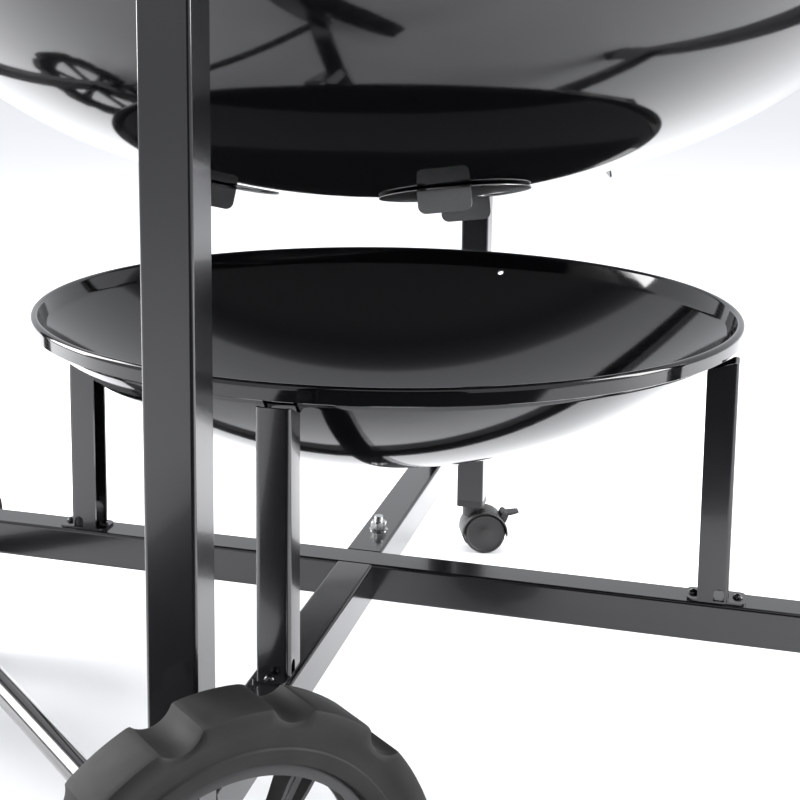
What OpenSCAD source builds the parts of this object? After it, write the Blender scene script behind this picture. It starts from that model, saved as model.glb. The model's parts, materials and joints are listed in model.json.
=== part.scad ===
// Kettle charcoal grill on a square-tube cart, with a loose ash bowl below.
// Origin: on the floor under the middle of the whole outline. +Z up. The front leg stands at -Y.
// The pieces are drawn round the kettle's upright axis and then moved together.

/* [Cart] */
// Outside width of the square tube
tube_w = 32; // [30:1:34]
// Wall of the square tube
tube_t = 2; // [1.5:0.5:3]
// Distance of every leg from the kettle's axis
leg_r = 487; // [485:1:500]
// How far the cross beam lies in front of the kettle's axis
cross_y = -70; // [-76:1:-60]
// Height of the beams' top faces
beam_top = 195; // [190:1:200]
// Height of the leg tubes' upper ends
leg_top = 772; // [765:1:775]

/* [Running gear] */
// Diameter of the road wheels
wheel_d = 280; // [270:2:284]
// Width of the tyres
tyre_w = 40; // [34:1:42]
// Diameter of the axle
axle_d = 12; // [10:1:14]
// Diameter of the caster wheels
caster_d = 50; // [46:1:50]
// Direction in which the casters trail
caster_turn = 18; // [0:1:30]

/* [Ash bowl] */
// Radius of the ash bowl's rolled rim
ash_r = 308; // [306:1:309]
// Height of the rim's crest
ash_z = 407; // [405:1:409]
// Depth of the ash bowl's dished part
ash_depth = 116; // [112:1:118]
// Radius of the small hanging hole
hang_hole_r = 3; // [2:0.5:4]

/* [Kettle] */
// Outside radius of the kettle's wall
kettle_r = 458; // [455:1:458]
// Depth of the kettle's bowl
kettle_depth = 286; // [284:1:287]
// Height of the kettle's rim
kettle_z = 790; // [789:1:791]
// Height of the lid's dome
lid_h = 282; // [270:1:290]
// Distance of the bottom vents from the kettle's axis
vent_r = 155; // [150:1:156]
// Direction of the first bottom vent
vent_turn = -55; // [-60:1:-50]
// Diameter of the damper discs
damper_d = 118; // [112:1:120]

/* [Hidden] */

// brings the middle of the whole grill's outline over the origin
outline_shift = [43.44, 60.16, 0];
$fn = 64;
gap = 0.4;
beam_z = beam_top - tube_w / 2;
leg_x = sqrt(leg_r * leg_r - cross_y * cross_y);
LEG_FRONT = [0, -leg_r];
LEG_REAR = [0, leg_r];
LEG_LEFT = [-leg_x, cross_y];
LEG_RIGHT = [leg_x, cross_y];
wheel_leg_z = wheel_d / 2 - 34;
caster_leg_z = caster_d + 17;
plug_h = 8;
axle_z = wheel_d / 2;
axle_dir = [LEG_LEFT[0] - LEG_FRONT[0], LEG_LEFT[1] - LEG_FRONT[1]];
axle_len = norm(axle_dir);
axle_turn = atan2(axle_dir[1], axle_dir[0]);
wheel_out = tyre_w / 2 + 30;
hub_bore_r = axle_d / 2 + 0.06;
post_x_right = 305;
post_x_left = -268;
post_y = 314;
post_web = 26;
post_flange = 24;
post_t = 2.5;
SCREWS = [-post_flange - 3, 7];
VENT_TURNS = [32, 22, 32, 104];
kettle_t = 2;
lid_r = kettle_r + 3;
lid_z = kettle_z + 6.3;
lid_t = 2;
handle_x = 85;
handle_z = lid_z + lid_h * cos(asin(handle_x / lid_r));
grate_z = 752;
coal_z = 610;
flap_y = 262;
grate_r = 430;
vent_lean = atan(kettle_depth / kettle_r * tan(asin(vent_r / kettle_r)));
trail = 15;
caster_top = caster_leg_z - plug_h - 0.3;
hood_r = caster_d / 2 + 3.2;
dish_r = ash_r - 8;
dish_z = ash_z - 16;
dish_rho = (dish_r * dish_r + ash_depth * ash_depth) / (2 * ash_depth);
POSTS = [[[0, -post_y], -90], [[0, post_y], 90],
    [[post_x_left, cross_y], 180], [[post_x_right, cross_y], 0]];
bracket_z = 742;
lid_damper_t = 36;
gauge_t = 48;
gauge_d = 66;

module placed() translate(outline_shift) children();

// ---------- shapes used by several pieces ----------

module rounded_square(w, r) {
    square([w - 2 * r, w], center = true);
    square([w, w - 2 * r], center = true);
    for (x = [-1, 1], y = [-1, 1]) translate([x * (w / 2 - r), y * (w / 2 - r)]) circle(r, $fn = 24);
}

// square tube from z = 0 to z = length
module square_tube(length) {
    linear_extrude(length) difference() {
        rounded_square(tube_w, 2.5);
        square(tube_w - 2 * tube_t, center = true);
    }
}

module leg(place, foot_z) {
    color("#0b0b0c") difference() {
        translate([place[0], place[1], foot_z]) square_tube(leg_top - foot_z);
        bracket_bores();
    }
}

// points of an elliptical arc, from its pole (t = 0) to its rim (t = 1)
function arc_points(r, h, n, dir) = [for (i = [0:n]) [r * sin(90 * i / n), dir * h * cos(90 * i / n)]];
function reverse(p) = [for (i = [len(p) - 1:-1:0]) p[i]];

// elliptical shell hanging below (dir = -1) or standing above (dir = 1) the plane z = 0
module elliptic_shell(r, h, t, dir) {
    rotate_extrude($fn = 96) polygon(concat(
        arc_points(r, h, 30, dir), reverse(arc_points(r - t, h - t, 30, dir))));
}

module ring(r_out, r_in, h) {
    difference() {
        cylinder(h, r = r_out);
        translate([0, 0, -1]) cylinder(h + 2, r = r_in);
    }
}

module ring_at_middle(r_out, r_in, h) translate([0, 0, -h / 2]) ring(r_out, r_in, h);

// hexagon nut with a washer flange, bottom at z = 0
module flange_nut(bore, across, height) {
    difference() {
        union() {
            cylinder(1.5, d = across * 1.3);
            cylinder(height, d = across / cos(30), $fn = 6);
        }
        translate([0, 0, -1]) cylinder(height + 2, d = bore);
    }
}

// bolt with its hexagon head below z = 0 and its shank above
module hex_bolt(d, across, shank) {
    cylinder(shank, d = d);
    translate([0, 0, -d * 0.6]) cylinder(d * 0.6, d = across / cos(30), $fn = 6);
}

// ---------- cart ----------

module cross_beam() {
    length = 2 * (leg_x - tube_w / 2);
    color("#0b0b0c") difference() {
        translate([-length / 2, cross_y, beam_z]) rotate([0, 90, 0]) square_tube(length);
        for (s = SCREWS) {
            translate([post_x_right + s, cross_y, beam_top - 20]) cylinder(40, d = 5.2);
            translate([post_x_left - s, cross_y, beam_top - 20]) cylinder(40, d = 5.2);
        }
    }
}

module long_beam(y0, y1) {
    translate([0, y0, beam_z]) rotate([-90, 0, 0]) square_tube(y1 - y0);
}

module front_beam() {
    color("#0b0b0c") difference() {
        long_beam(-leg_r + tube_w / 2, cross_y - tube_w / 2);
        for (s = SCREWS) translate([0, -post_y - s, beam_top - 20]) cylinder(40, d = 5.2);
    }
}

module rear_beam() {
    color("#0b0b0c") difference() {
        long_beam(cross_y + tube_w / 2, leg_r - tube_w / 2);
        for (s = SCREWS) translate([0, post_y + s, beam_top - 20]) cylinder(40, d = 5.2);
        translate([0, 0, beam_top - 50]) cylinder(60, d = 8.4);
    }
}

// inner tube that the rear beam slides onto
module beam_stub() {
    inner = tube_w - 2 * tube_t - 0.4;
    y0 = cross_y + tube_w / 2;
    color("#1a1a1b") difference() {
        translate([-inner / 2, y0, beam_z - inner / 2]) cube([inner, 110, inner]);
        translate([-inner / 2 + 2, y0 - 1, beam_z - inner / 2 + 2]) cube([inner - 4, 112, inner - 4]);
        translate([0, 0, beam_top - 50]) cylinder(60, d = 8.4);
    }
}

module beam_bolt() {
    color("silver") translate([0, 0, beam_top - tube_w]) hex_bolt(8, 13, tube_w + 13);
}

module beam_nut() {
    color("silver") translate([0, 0, beam_top]) flange_nut(8, 13, 8);
}

module leg_front() {
    difference() {
        leg(LEG_FRONT, wheel_leg_z);
        axle_bore();
    }
}

module leg_left() {
    difference() {
        leg(LEG_LEFT, wheel_leg_z);
        axle_bore();
    }
}

module leg_rear() leg(LEG_REAR, caster_leg_z);

module leg_right() leg(LEG_RIGHT, caster_leg_z);

module leg_caps() {
    color("#161616") for (p = [LEG_FRONT, LEG_REAR, LEG_LEFT, LEG_RIGHT]) translate([p[0], p[1], leg_top]) {
        linear_extrude(5) rounded_square(tube_w, 3);
        translate([0, 0, -14]) linear_extrude(14) rounded_square(tube_w - 2 * tube_t, 2);
    }
}

module leg_plugs() {
    inner = tube_w - 2 * tube_t;
    color("#161616") {
        for (p = [LEG_FRONT, LEG_LEFT]) translate([p[0], p[1], wheel_leg_z - plug_h]) {
            linear_extrude(plug_h) rounded_square(tube_w, 3);
            linear_extrude(plug_h + 10) rounded_square(inner, 2);
        }
        for (p = [LEG_REAR, LEG_RIGHT]) translate([p[0], p[1], caster_leg_z - plug_h]) difference() {
            union() {
                linear_extrude(plug_h) rounded_square(tube_w, 3);
                linear_extrude(plug_h + 34) rounded_square(inner, 2);
            }
            translate([0, 0, -1]) cylinder(plug_h + 36, d = 10.1);
        }
    }
}

// ---------- road wheels ----------

// puts z = 0 at the middle of the front leg and +z along the axle, towards the left leg
module on_axle() {
    translate([LEG_FRONT[0], LEG_FRONT[1], axle_z]) rotate([0, 0, axle_turn]) rotate([0, 90, 0])
        children();
}

module axle_bore() {
    on_axle() translate([0, 0, -60]) cylinder(axle_len + 120, d = axle_d + 0.2);
}

module axle() {
    reach = wheel_out + tyre_w / 2 + 14;
    color("silver") on_axle() translate([0, 0, -reach]) cylinder(axle_len + 2 * reach, d = axle_d);
}

module axle_sleeve() {
    color("#0b0b0c") on_axle() translate([0, 0, 25]) ring(10, axle_d / 2 + 0.2, axle_len - 50);
}

module axle_nuts() {
    inner = wheel_out - tyre_w / 2 - 1.5;
    color("silver") on_axle() for (end = [0, 1]) translate([0, 0, end * axle_len]) mirror([0, 0, 1 - end]) {
        translate([0, 0, inner - 1]) ring(12, axle_d / 2, 1.6);
        translate([0, 0, wheel_out + tyre_w / 2 + 1]) ring(12, axle_d / 2, 1.6);
        translate([0, 0, wheel_out + tyre_w / 2 + 2.6]) difference() {
            cylinder(12.5, d = 22);
            translate([0, 0, -1]) cylinder(12.4, d = axle_d);
        }
    }
}

module at_wheel(end) {
    on_axle() translate([0, 0, end * axle_len]) mirror([0, 0, 1 - end]) translate([0, 0, wheel_out])
        children();
}

module wheel_hub(end) {
    spoke_n = 6;
    rim_r = wheel_d / 2 - 34;
    color("#141414") at_wheel(end) difference() {
        union() {
            translate([0, 0, -tyre_w / 2]) cylinder(tyre_w, r = 20);
            translate([0, 0, -15]) ring(rim_r, rim_r - 7, 30);
            for (i = [0:spoke_n - 1]) rotate(i * 360 / spoke_n) translate([15, -9, -8])
                cube([rim_r - 18, 18, 16]);
        }
        translate([0, 0, -tyre_w]) cylinder(tyre_w * 2, r = hub_bore_r);
    }
}

module tyre(end) {
    lug_n = 12;
    r = wheel_d / 2;
    color("#101010") at_wheel(end) difference() {
        translate([0, 0, -tyre_w / 2]) cylinder(tyre_w, r = r);
        translate([0, 0, -tyre_w]) cylinder(tyre_w * 2, r = r - 34);
        for (i = [0:lug_n - 1]) rotate((i + 0.5) * 360 / lug_n) translate([r + 9, 0, -tyre_w])
            cylinder(tyre_w * 2, r = 17, $fn = 32);
    }
}

module front_wheel_hub() wheel_hub(0);
module front_tyre() tyre(0);
module left_wheel_hub() wheel_hub(1);
module left_tyre() tyre(1);

// ---------- casters ----------

module at_caster(place) {
    translate([place[0], place[1], 0]) rotate([0, 0, caster_turn]) children();
}

// puts z = 0 in the wheels' middle plane and +z along their axle
module on_caster_axle() {
    translate([trail, 0, caster_d / 2]) rotate([-90, 0, 0]) children();
}

module caster_body(place) {
    pivot = [trail + 25, caster_d / 2 + 21];
    color("#101010") at_caster(place) difference() {
        union() {
            translate([0, 0, caster_d - 4]) cylinder(caster_top + 34 - caster_d, d = 10);
            translate([0, 0, caster_d + 1]) cylinder(caster_top - caster_d - 1, d = 22);
            // hood over the upper half of the wheels
            intersection() {
                on_caster_axle() translate([0, 0, -19]) difference() {
                    cylinder(38, r = hood_r);
                    translate([0, 0, -1]) cylinder(40, r = hood_r - 2);
                }
                translate([trail - 40, -30, caster_d / 2 + 4]) cube([80, 60, 40]);
            }
            // web between the wheels
            on_caster_axle() translate([0, 0, -2.5]) cylinder(5, r = hood_r - 1);
            // ears that carry the brake lever
            for (y = [-12, 9]) translate([pivot[0] - 9, y, pivot[1] - 7]) cube([14, 3, 11]);
        }
        on_caster_axle() {
            cylinder(60, d = 6.1, center = true);
            for (side = [0, 1]) mirror([0, 0, side]) translate([0, 0, 3.2]) cylinder(15, r = hood_r - 2);
        }
        translate([pivot[0], -20, pivot[1]]) rotate([-90, 0, 0]) cylinder(40, d = 4.1);
        // the web is cut away below the axle and where the lever turns
        translate([trail - 40, -4, -5]) cube([80, 8, 11]);
        translate([pivot[0] - 4.5, -8.6, pivot[1] - 5]) cube([30, 17.2, 20]);
    }
}

module caster_wheels(place) {
    color("#0d0d0d") at_caster(place) on_caster_axle() {
        cylinder(34, d = 6, center = true);
        for (side = [0, 1]) mirror([0, 0, side]) translate([0, 0, 4]) difference() {
            cylinder(13, d = caster_d);
            translate([0, 0, 10]) ring(caster_d / 2 - 4, 8, 4);
        }
    }
}

module brake_lever(place) {
    pivot = [trail + 25, caster_d / 2 + 21];
    color("#202020") at_caster(place) translate([pivot[0], 0, pivot[1]]) {
        rotate([90, 0, 0]) cylinder(24, d = 4, center = true);
        rotate([90, 0, 0]) cylinder(16, d = 8, center = true);
        translate([1, -8, 1]) cube([17, 16, 3]);
    }
}

module rear_caster_body() caster_body(LEG_REAR);
module rear_caster_wheels() caster_wheels(LEG_REAR);
module rear_brake_lever() brake_lever(LEG_REAR);
module right_caster_body() caster_body(LEG_RIGHT);
module right_caster_wheels() caster_wheels(LEG_RIGHT);
module right_brake_lever() brake_lever(LEG_RIGHT);

// ---------- ash bowl and its posts ----------

// radius and height of the dish's outer surface, i from 0 (bottom) to n (edge)
function dish_points(off, n) = [for (i = [0:n])
    let (r = dish_r * i / n, rho = dish_rho + off) [r * rho / dish_rho,
        dish_z - ash_depth + dish_rho - sqrt(dish_rho * dish_rho - r * r) * rho / dish_rho]];

module ash_bowl() {
    t = 2;
    rim_outer = [[dish_r + 3, ash_z - 8], [ash_r - 2.5, ash_z - 3], [ash_r - 2, ash_z - 13],
        [ash_r, ash_z - 13], [ash_r, ash_z - 3], [ash_r - 1.5, ash_z - 0.6], [ash_r - 4, ash_z],
        [ash_r - 6, ash_z - 1.5]];
    color("#08080a") difference() {
        rotate_extrude($fn = 128)
            polygon(concat(dish_points(0, 24), rim_outer, reverse(dish_points(-t, 24))));
        rotate([0, 0, 78]) translate([dish_r - 6, 0, dish_z - 5]) rotate([0, 138, 0])
            cylinder(20, r = hang_hole_r, center = true);
    }
}

// space taken by the dish, grown a little
module dish_solid() {
    rotate_extrude($fn = 128) polygon(concat(dish_points(gap, 24), [[ash_r + 30, dish_z + 2 + gap],
        [ash_r + 30, dish_z + 60], [0, dish_z + 60]]));
}

// channel post: web outwards (+x), open side towards the bowl's axis, foot at z = 0
module channel_post(height) {
    difference() {
        translate([-post_flange, -post_web / 2, 0]) cube([post_flange, post_web, height]);
        translate([-post_flange - 1, -post_web / 2 + post_t, 2])
            cube([post_flange + 1 - post_t, post_web - 2 * post_t, height]);
        // arched notches at the foot of both flanges
        translate([-7.6, 0, 0]) {
            translate([0, 0, 7.8]) rotate([90, 0, 0]) cylinder(60, r = 4.2, center = true, $fn = 32);
            translate([-4.2, -30, 2]) cube([8.4, 60, 5.8]);
        }
    }
    // thin foot plate that runs out on both sides, under the two screws
    difference() {
        translate([-post_flange - 8, -post_web / 2, 0]) cube([post_flange + 21, post_web, 2]);
        for (s = SCREWS) translate([s, 0, -1]) cylinder(6, d = 5.2);
    }
}

module at_post(place, turn) {
    translate([place[0], place[1], beam_top]) rotate([0, 0, turn]) children();
}

module ash_post(place, turn) {
    color("#0b0b0c") difference() {
        at_post(place, turn) channel_post(dish_z - beam_top);
        dish_solid();
    }
}

module ash_post_front() ash_post(POSTS[0][0], POSTS[0][1]);
module ash_post_rear() ash_post(POSTS[1][0], POSTS[1][1]);
module ash_post_left() ash_post(POSTS[2][0], POSTS[2][1]);
module ash_post_right() ash_post(POSTS[3][0], POSTS[3][1]);

module ash_post_bolts() {
    color("#141415") for (p = POSTS, s = SCREWS) at_post(p[0], p[1]) translate([s, 0, 0]) {
        translate([0, 0, -12]) cylinder(14.5, d = 5);
        translate([0, 0, 2]) intersection() {
            translate([0, 0, -1.5]) sphere(4.3, $fn = 32);
            cylinder(5, r = 4, $fn = 32);
        }
    }
}

// ---------- kettle ----------

// puts z = 0 on the kettle's outside and +z outwards at a vent's centre
module at_vent(i) {
    t = asin(vent_r / kettle_r);
    rotate([0, 0, vent_turn + 90 * i]) translate([vent_r, 0, kettle_z - kettle_depth * cos(t)])
        rotate([0, 180 - vent_lean, 0]) rotate(VENT_TURNS[i]) children();
}

module vent_holes(r, depth) {
    for (a = [0:120:240]) rotate(a + 60) translate([damper_d / 2 - 25, 0, 0])
        cylinder(depth, r = r, center = true);
}

module kettle_bowl() {
    color("#08080a") difference() {
        union() {
            translate([0, 0, kettle_z]) elliptic_shell(kettle_r, kettle_depth, kettle_t, -1);
            translate([0, 0, kettle_z]) rotate_extrude($fn = 96)
                translate([kettle_r + 2, 0]) circle(4, $fn = 24);
        }
        for (i = [0:3]) at_vent(i) {
            vent_holes(15, 30);
            cylinder(30, d = 6.1, center = true);
        }
        bracket_bores();
    }
}

// disc dished like the kettle's bottom, with two tabs bent down at its edge
module damper(i) {
    rho = kettle_r * kettle_r / kettle_depth + 6;
    t = 1.4;
    color("#b9b9b7") at_vent(i) difference() {
        union() {
            translate([0, 0, -rho + 1]) intersection() {
                difference() {
                    sphere(rho + t, $fn = 128);
                    sphere(rho, $fn = 128);
                }
                cylinder(rho + 20, d = damper_d);
            }
            for (a = [0, 180]) rotate(a) translate([damper_d / 2 - 3, -20, -1.1]) cube([t, 40, 20]);
        }
        vent_holes(14, 60);
        cylinder(60, d = 6.1, center = true);
    }
}

module damper_front() damper(0);
module damper_right() damper(1);
module damper_rear() damper(2);
module damper_left() damper(3);

module damper_rivets() {
    color("silver") for (i = [0:3]) at_vent(i) {
        translate([0, 0, -6]) cylinder(9.5, d = 6);
        translate([0, 0, 2.8]) cylinder(2, d = 12);
        translate([0, 0, -4.6]) cylinder(2, d = 12);
    }
}

module at_bracket(i) {
    leg_xy = [LEG_FRONT, LEG_REAR, LEG_LEFT, LEG_RIGHT][i];
    face = [[0, tube_w / 2], [0, -tube_w / 2], [tube_w / 2, 0], [-tube_w / 2, 0]][i];
    translate([leg_xy[0] + face[0], leg_xy[1] + face[1], bracket_z]) rotate([0, 0, [90, -90, 0, 180][i]])
        children();
}

module bracket_bores() {
    for (i = [0:3]) at_bracket(i) rotate([0, 90, 0]) translate([0, 0, -tube_w - 1]) cylinder(90, d = 8.2);
}

module kettle_brackets() {
    color("#0b0b0c") difference() {
        for (i = [0:3]) at_bracket(i) translate([0, -12, -18]) cube([40, 24, 36]);
        translate([0, 0, kettle_z]) rotate_extrude($fn = 96)
            polygon(concat([[0, 0]], arc_points(kettle_r, kettle_depth, 30, -1)));
        bracket_bores();
    }
}

module bracket_bolts() {
    color("silver") for (i = [0:3]) at_bracket(i) rotate([0, 90, 0]) {
        translate([0, 0, -tube_w]) mirror([0, 0, 1]) cylinder(4, r1 = 8, r2 = 5);
        translate([0, 0, -tube_w]) cylinder(tube_w + 34, d = 8);
        translate([0, 0, 26]) cylinder(7, d = 13 / cos(30), $fn = 6);
    }
}

// ---------- grates ----------

function chord(r, y) = sqrt(r * r - y * y);

// bar along x, d thick
module bar(length, d) cube([length, d, d], center = true);

// ring of bar, d thick, round the grate
module bar_ring(r, d) translate([0, 0, -d / 2]) ring(r + d / 2, r - d / 2, d);

module grate_ledges() {
    color("#9a9a98") for (a = [-12, 12, 168, 192]) rotate([0, 0, a]) {
        translate([grate_r - 6, -14, grate_z - 5.5]) cube([kettle_inner(grate_z - 6) - grate_r + 6, 28, 2]);
        translate([335, -14, coal_z - 5]) cube([kettle_inner(coal_z - 5) - 335, 28, 2]);
    }
}

// inside radius of the kettle's bowl at height z
function kettle_inner(z) =
    (kettle_r - kettle_t) * sqrt(1 - pow((kettle_z - z) / (kettle_depth - kettle_t), 2)) - 0.5;

module charcoal_grate() {
    r = 345;
    pitch = 32;
    color("#8d8d8b") translate([0, 0, coal_z]) {
        bar_ring(r, 6);
        for (i = [-10:10]) translate([0, i * pitch, 0]) bar(2 * chord(r, i * pitch), 6);
        for (x = [-170, 170]) translate([x, 0, -4.5]) rotate(90) bar(2 * chord(r, x) - 8, 6);
    }
}

module cooking_grate() {
    pitch = 20.5;
    color("#c4c4c2") translate([0, 0, grate_z]) {
        intersection() {
            bar_ring(grate_r, 7);
            cube([1000, 2 * flap_y, 20], center = true);
        }
        for (y = [-flap_y, flap_y]) translate([0, y, 0]) rotate([0, 90, 0])
            cylinder(2 * chord(grate_r, flap_y), d = 6, center = true);
        for (i = [-20:20]) translate([i * pitch, 0, 0]) rotate(90)
            bar(2 * min(flap_y, chord(grate_r, i * pitch)), 5);
        for (y = [-160, 0, 160]) translate([0, y, -4.2]) bar(2 * chord(grate_r, y) - 8, 6);
    }
}

// segment-shaped flap, hinged on the cooking grate's outer rail
module grate_flap(side) {
    y0 = flap_y + 9;
    pitch = 20.5;
    color("#c4c4c2") translate([0, 0, grate_z]) mirror([0, side, 0]) {
        intersection() {
            bar_ring(grate_r, 7);
            translate([-500, y0 - 2.5, -10]) cube([1000, 400, 20]);
        }
        translate([0, y0, 0]) bar(2 * chord(grate_r, y0), 5);
        for (i = [-15:15]) let (x = i * pitch, y1 = chord(grate_r, x)) translate([x, (y0 + y1) / 2, 0])
            rotate(90) bar(y1 - y0, 5);
        translate([0, 350, -4.2]) bar(2 * chord(grate_r, 350) - 8, 5);
        // loops around the rail
        for (x = [-235.75, 235.75]) translate([x, flap_y, 0]) {
            rotate([0, 90, 0]) ring_at_middle(5.8, 3.06, 8);
            translate([-1.5, 4, -2.5]) cube([3, 4, 5]);
        }
    }
}

module grate_flap_front() grate_flap(1);
module grate_flap_rear() grate_flap(0);

// ---------- lid ----------

// puts z = 0 on the lid's outside and +z outwards; t is the angle from the dome's top
module on_lid(turn, t) {
    rotate([0, 0, turn]) translate([lid_r * sin(t), 0, lid_z + lid_h * cos(t)])
        rotate([0, atan(lid_h / lid_r * tan(t)), 0]) children();
}

module lid_shell() {
    skirt_r = kettle_r + 12;
    color("#08080a") difference() {
        union() {
            translate([0, 0, lid_z]) elliptic_shell(lid_r, lid_h, lid_t, 1);
            translate([0, 0, lid_z - 2]) ring(skirt_r, lid_r - lid_t, 2.2);
            translate([0, 0, lid_z - 13]) ring(skirt_r, skirt_r - 2, 13);
        }
        on_lid(0, lid_damper_t) {
            vent_holes(11, 30);
            cylinder(30, d = 6.1, center = true);
        }
        on_lid(-90, gauge_t) cylinder(60, d = 12.2, center = true);
        for (x = [-1, 1]) translate([x * handle_x, 0, handle_z - 20]) cylinder(40, d = 6.2);
    }
}

module lid_handle_posts() {
    color("#101010") difference() {
        for (x = [-1, 1]) translate([x * handle_x, 0, handle_z - 4]) {
            cylinder(57, d = 22);
            cylinder(8, d = 34);
        }
        for (x = [-1, 1]) translate([x * handle_x, 0, handle_z - 20]) cylinder(46, d = 6.2);
        translate([0, 0, lid_z]) rotate_extrude($fn = 96)
            polygon(concat([[0, 0]], arc_points(lid_r, lid_h, 30, 1)));
    }
}

module lid_handle_grip() {
    color("#1b1b1b") translate([0, 0, handle_z + 58]) rotate([0, 90, 0]) difference() {
        union() {
            cylinder(230, d = 27, center = true);
            for (z = [-115, 115]) translate([0, 0, z]) sphere(d = 27);
        }
        for (z = [-handle_x, handle_x]) translate([13.2, 0, z]) rotate([0, 90, 0])
            cylinder(20, d = 22.2, center = true);
    }
}

module lid_handle_screws() {
    color("silver") for (x = [-1, 1]) translate([x * handle_x, 0, handle_z - 6.5]) {
        cylinder(32, d = 6);
        translate([0, 0, -3]) cylinder(3.4, d = 14);
    }
}

module lid_damper() {
    color("#b9b9b7") on_lid(0, lid_damper_t) difference() {
        translate([0, 0, 0.5]) cylinder(1.5, d = 104);
        vent_holes(12, 20);
        cylinder(20, d = 6.1, center = true);
        translate([42, 0, 0]) cylinder(20, d = 4.1, center = true);
    }
}

module lid_damper_knob() {
    color("#1b1b1b") on_lid(0, lid_damper_t) translate([42, 0, 0]) {
        translate([0, 0, 0.6]) cylinder(12, d = 4);
        translate([0, 0, 2.1]) cylinder(14, d = 14);
    }
}

module lid_damper_rivet() {
    color("silver") on_lid(0, lid_damper_t) {
        translate([0, 0, -4]) cylinder(6.5, d = 6);
        translate([0, 0, 2.3]) cylinder(2, d = 12);
        translate([0, 0, -5]) cylinder(2, d = 12);
    }
}

module thermometer_case() {
    color("silver") on_lid(-90, gauge_t) {
        difference() {
            translate([0, 0, 4]) cylinder(16, d = gauge_d);
            translate([0, 0, 7]) cylinder(20, d = gauge_d - 6);
        }
        translate([0, 0, -60]) cylinder(65, d = 6);
        translate([0, 0, -6]) cylinder(11, d = 12);
        translate([0, 0, -7]) cylinder(4, d = 19, $fn = 6);
    }
}

module thermometer_dial() {
    color("white") on_lid(-90, gauge_t) difference() {
        translate([0, 0, 7]) cylinder(1, d = gauge_d - 6.4);
        cylinder(30, d = 4, center = true);
    }
}

module thermometer_needle() {
    color("#b02020") on_lid(-90, gauge_t) {
        translate([0, 0, 7.4]) cylinder(5, d = 3.8);
        translate([0, 0, 10.2]) cylinder(2, d = 9);
        rotate(-45) translate([-8, -1, 10.4]) cube([32, 2, 1]);
    }
}

module thermometer_glass() {
    color("#ffffff", 0.3) on_lid(-90, gauge_t) translate([0, 0, 15]) cylinder(2, d = gauge_d - 6);
}

placed() cross_beam();
placed() front_beam();
placed() rear_beam();
placed() beam_stub();
placed() beam_bolt();
placed() beam_nut();
placed() leg_front();
placed() leg_rear();
placed() leg_left();
placed() leg_right();
placed() leg_caps();
placed() leg_plugs();
placed() axle_sleeve();
placed() axle();
placed() axle_nuts();
placed() front_wheel_hub();
placed() front_tyre();
placed() left_wheel_hub();
placed() left_tyre();
placed() rear_caster_body();
placed() rear_caster_wheels();
placed() rear_brake_lever();
placed() right_caster_body();
placed() right_caster_wheels();
placed() right_brake_lever();
placed() ash_post_front();
placed() ash_post_rear();
placed() ash_post_left();
placed() ash_post_right();
placed() ash_post_bolts();
placed() ash_bowl();
placed() kettle_bowl();
placed() kettle_brackets();
placed() bracket_bolts();
placed() damper_front();
placed() damper_right();
placed() damper_rear();
placed() damper_left();
placed() damper_rivets();
placed() grate_ledges();
placed() charcoal_grate();
placed() cooking_grate();
placed() grate_flap_front();
placed() grate_flap_rear();
placed() lid_shell();
placed() lid_handle_grip();
placed() lid_handle_posts();
placed() lid_handle_screws();
placed() lid_damper();
placed() lid_damper_knob();
placed() lid_damper_rivet();
placed() thermometer_case();
placed() thermometer_dial();
placed() thermometer_needle();
placed() thermometer_glass();
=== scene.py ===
"""Kettle charcoal grill: finishes, finely shaped pieces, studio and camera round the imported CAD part."""
import json
import math

import bmesh
import bpy
from mathutils import Matrix, Vector


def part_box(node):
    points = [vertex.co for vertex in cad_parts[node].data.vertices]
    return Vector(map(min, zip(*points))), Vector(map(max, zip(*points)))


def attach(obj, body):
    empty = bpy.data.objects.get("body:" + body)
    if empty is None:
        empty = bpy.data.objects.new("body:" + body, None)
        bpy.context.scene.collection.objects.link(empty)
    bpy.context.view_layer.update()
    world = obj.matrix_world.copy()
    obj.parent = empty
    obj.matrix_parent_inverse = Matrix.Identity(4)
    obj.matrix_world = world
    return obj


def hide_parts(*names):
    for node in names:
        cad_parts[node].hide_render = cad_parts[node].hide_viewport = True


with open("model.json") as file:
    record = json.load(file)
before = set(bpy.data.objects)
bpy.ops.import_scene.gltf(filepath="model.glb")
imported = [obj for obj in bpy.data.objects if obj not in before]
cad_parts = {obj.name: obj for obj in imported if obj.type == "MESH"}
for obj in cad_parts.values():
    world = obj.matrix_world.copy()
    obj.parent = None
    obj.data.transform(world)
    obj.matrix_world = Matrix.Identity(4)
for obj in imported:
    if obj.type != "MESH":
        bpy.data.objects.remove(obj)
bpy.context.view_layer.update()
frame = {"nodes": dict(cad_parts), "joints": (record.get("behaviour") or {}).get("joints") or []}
JOINTS = {joint["name"]: joint for joint in frame["joints"]}
MM = 0.001


# ---------- places, all from the CAD part ----------

def middle(node):
    low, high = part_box(node)
    return (low + high) / 2


def axes_at(origin, z_axis, y_axis):
    """Matrix whose z and y run along the given directions, at origin."""
    z = Vector(z_axis).normalized()
    y = Vector(y_axis)
    y = (y - z * y.dot(z)).normalized()
    x = y.cross(z)
    return Matrix((
        (x.x, y.x, z.x, origin[0]),
        (x.y, y.y, z.y, origin[1]),
        (x.z, y.z, z.z, origin[2]),
        (0, 0, 0, 1)))


def at_joint(name, y_axis):
    return axes_at(JOINTS[name]["pos_m"], JOINTS[name]["axis"], y_axis)


KETTLE = middle("kettle_bowl")
KETTLE.z = 0
KETTLE_AXIS = Matrix.Translation(KETTLE)


# ---------- nodes and materials ----------

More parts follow.
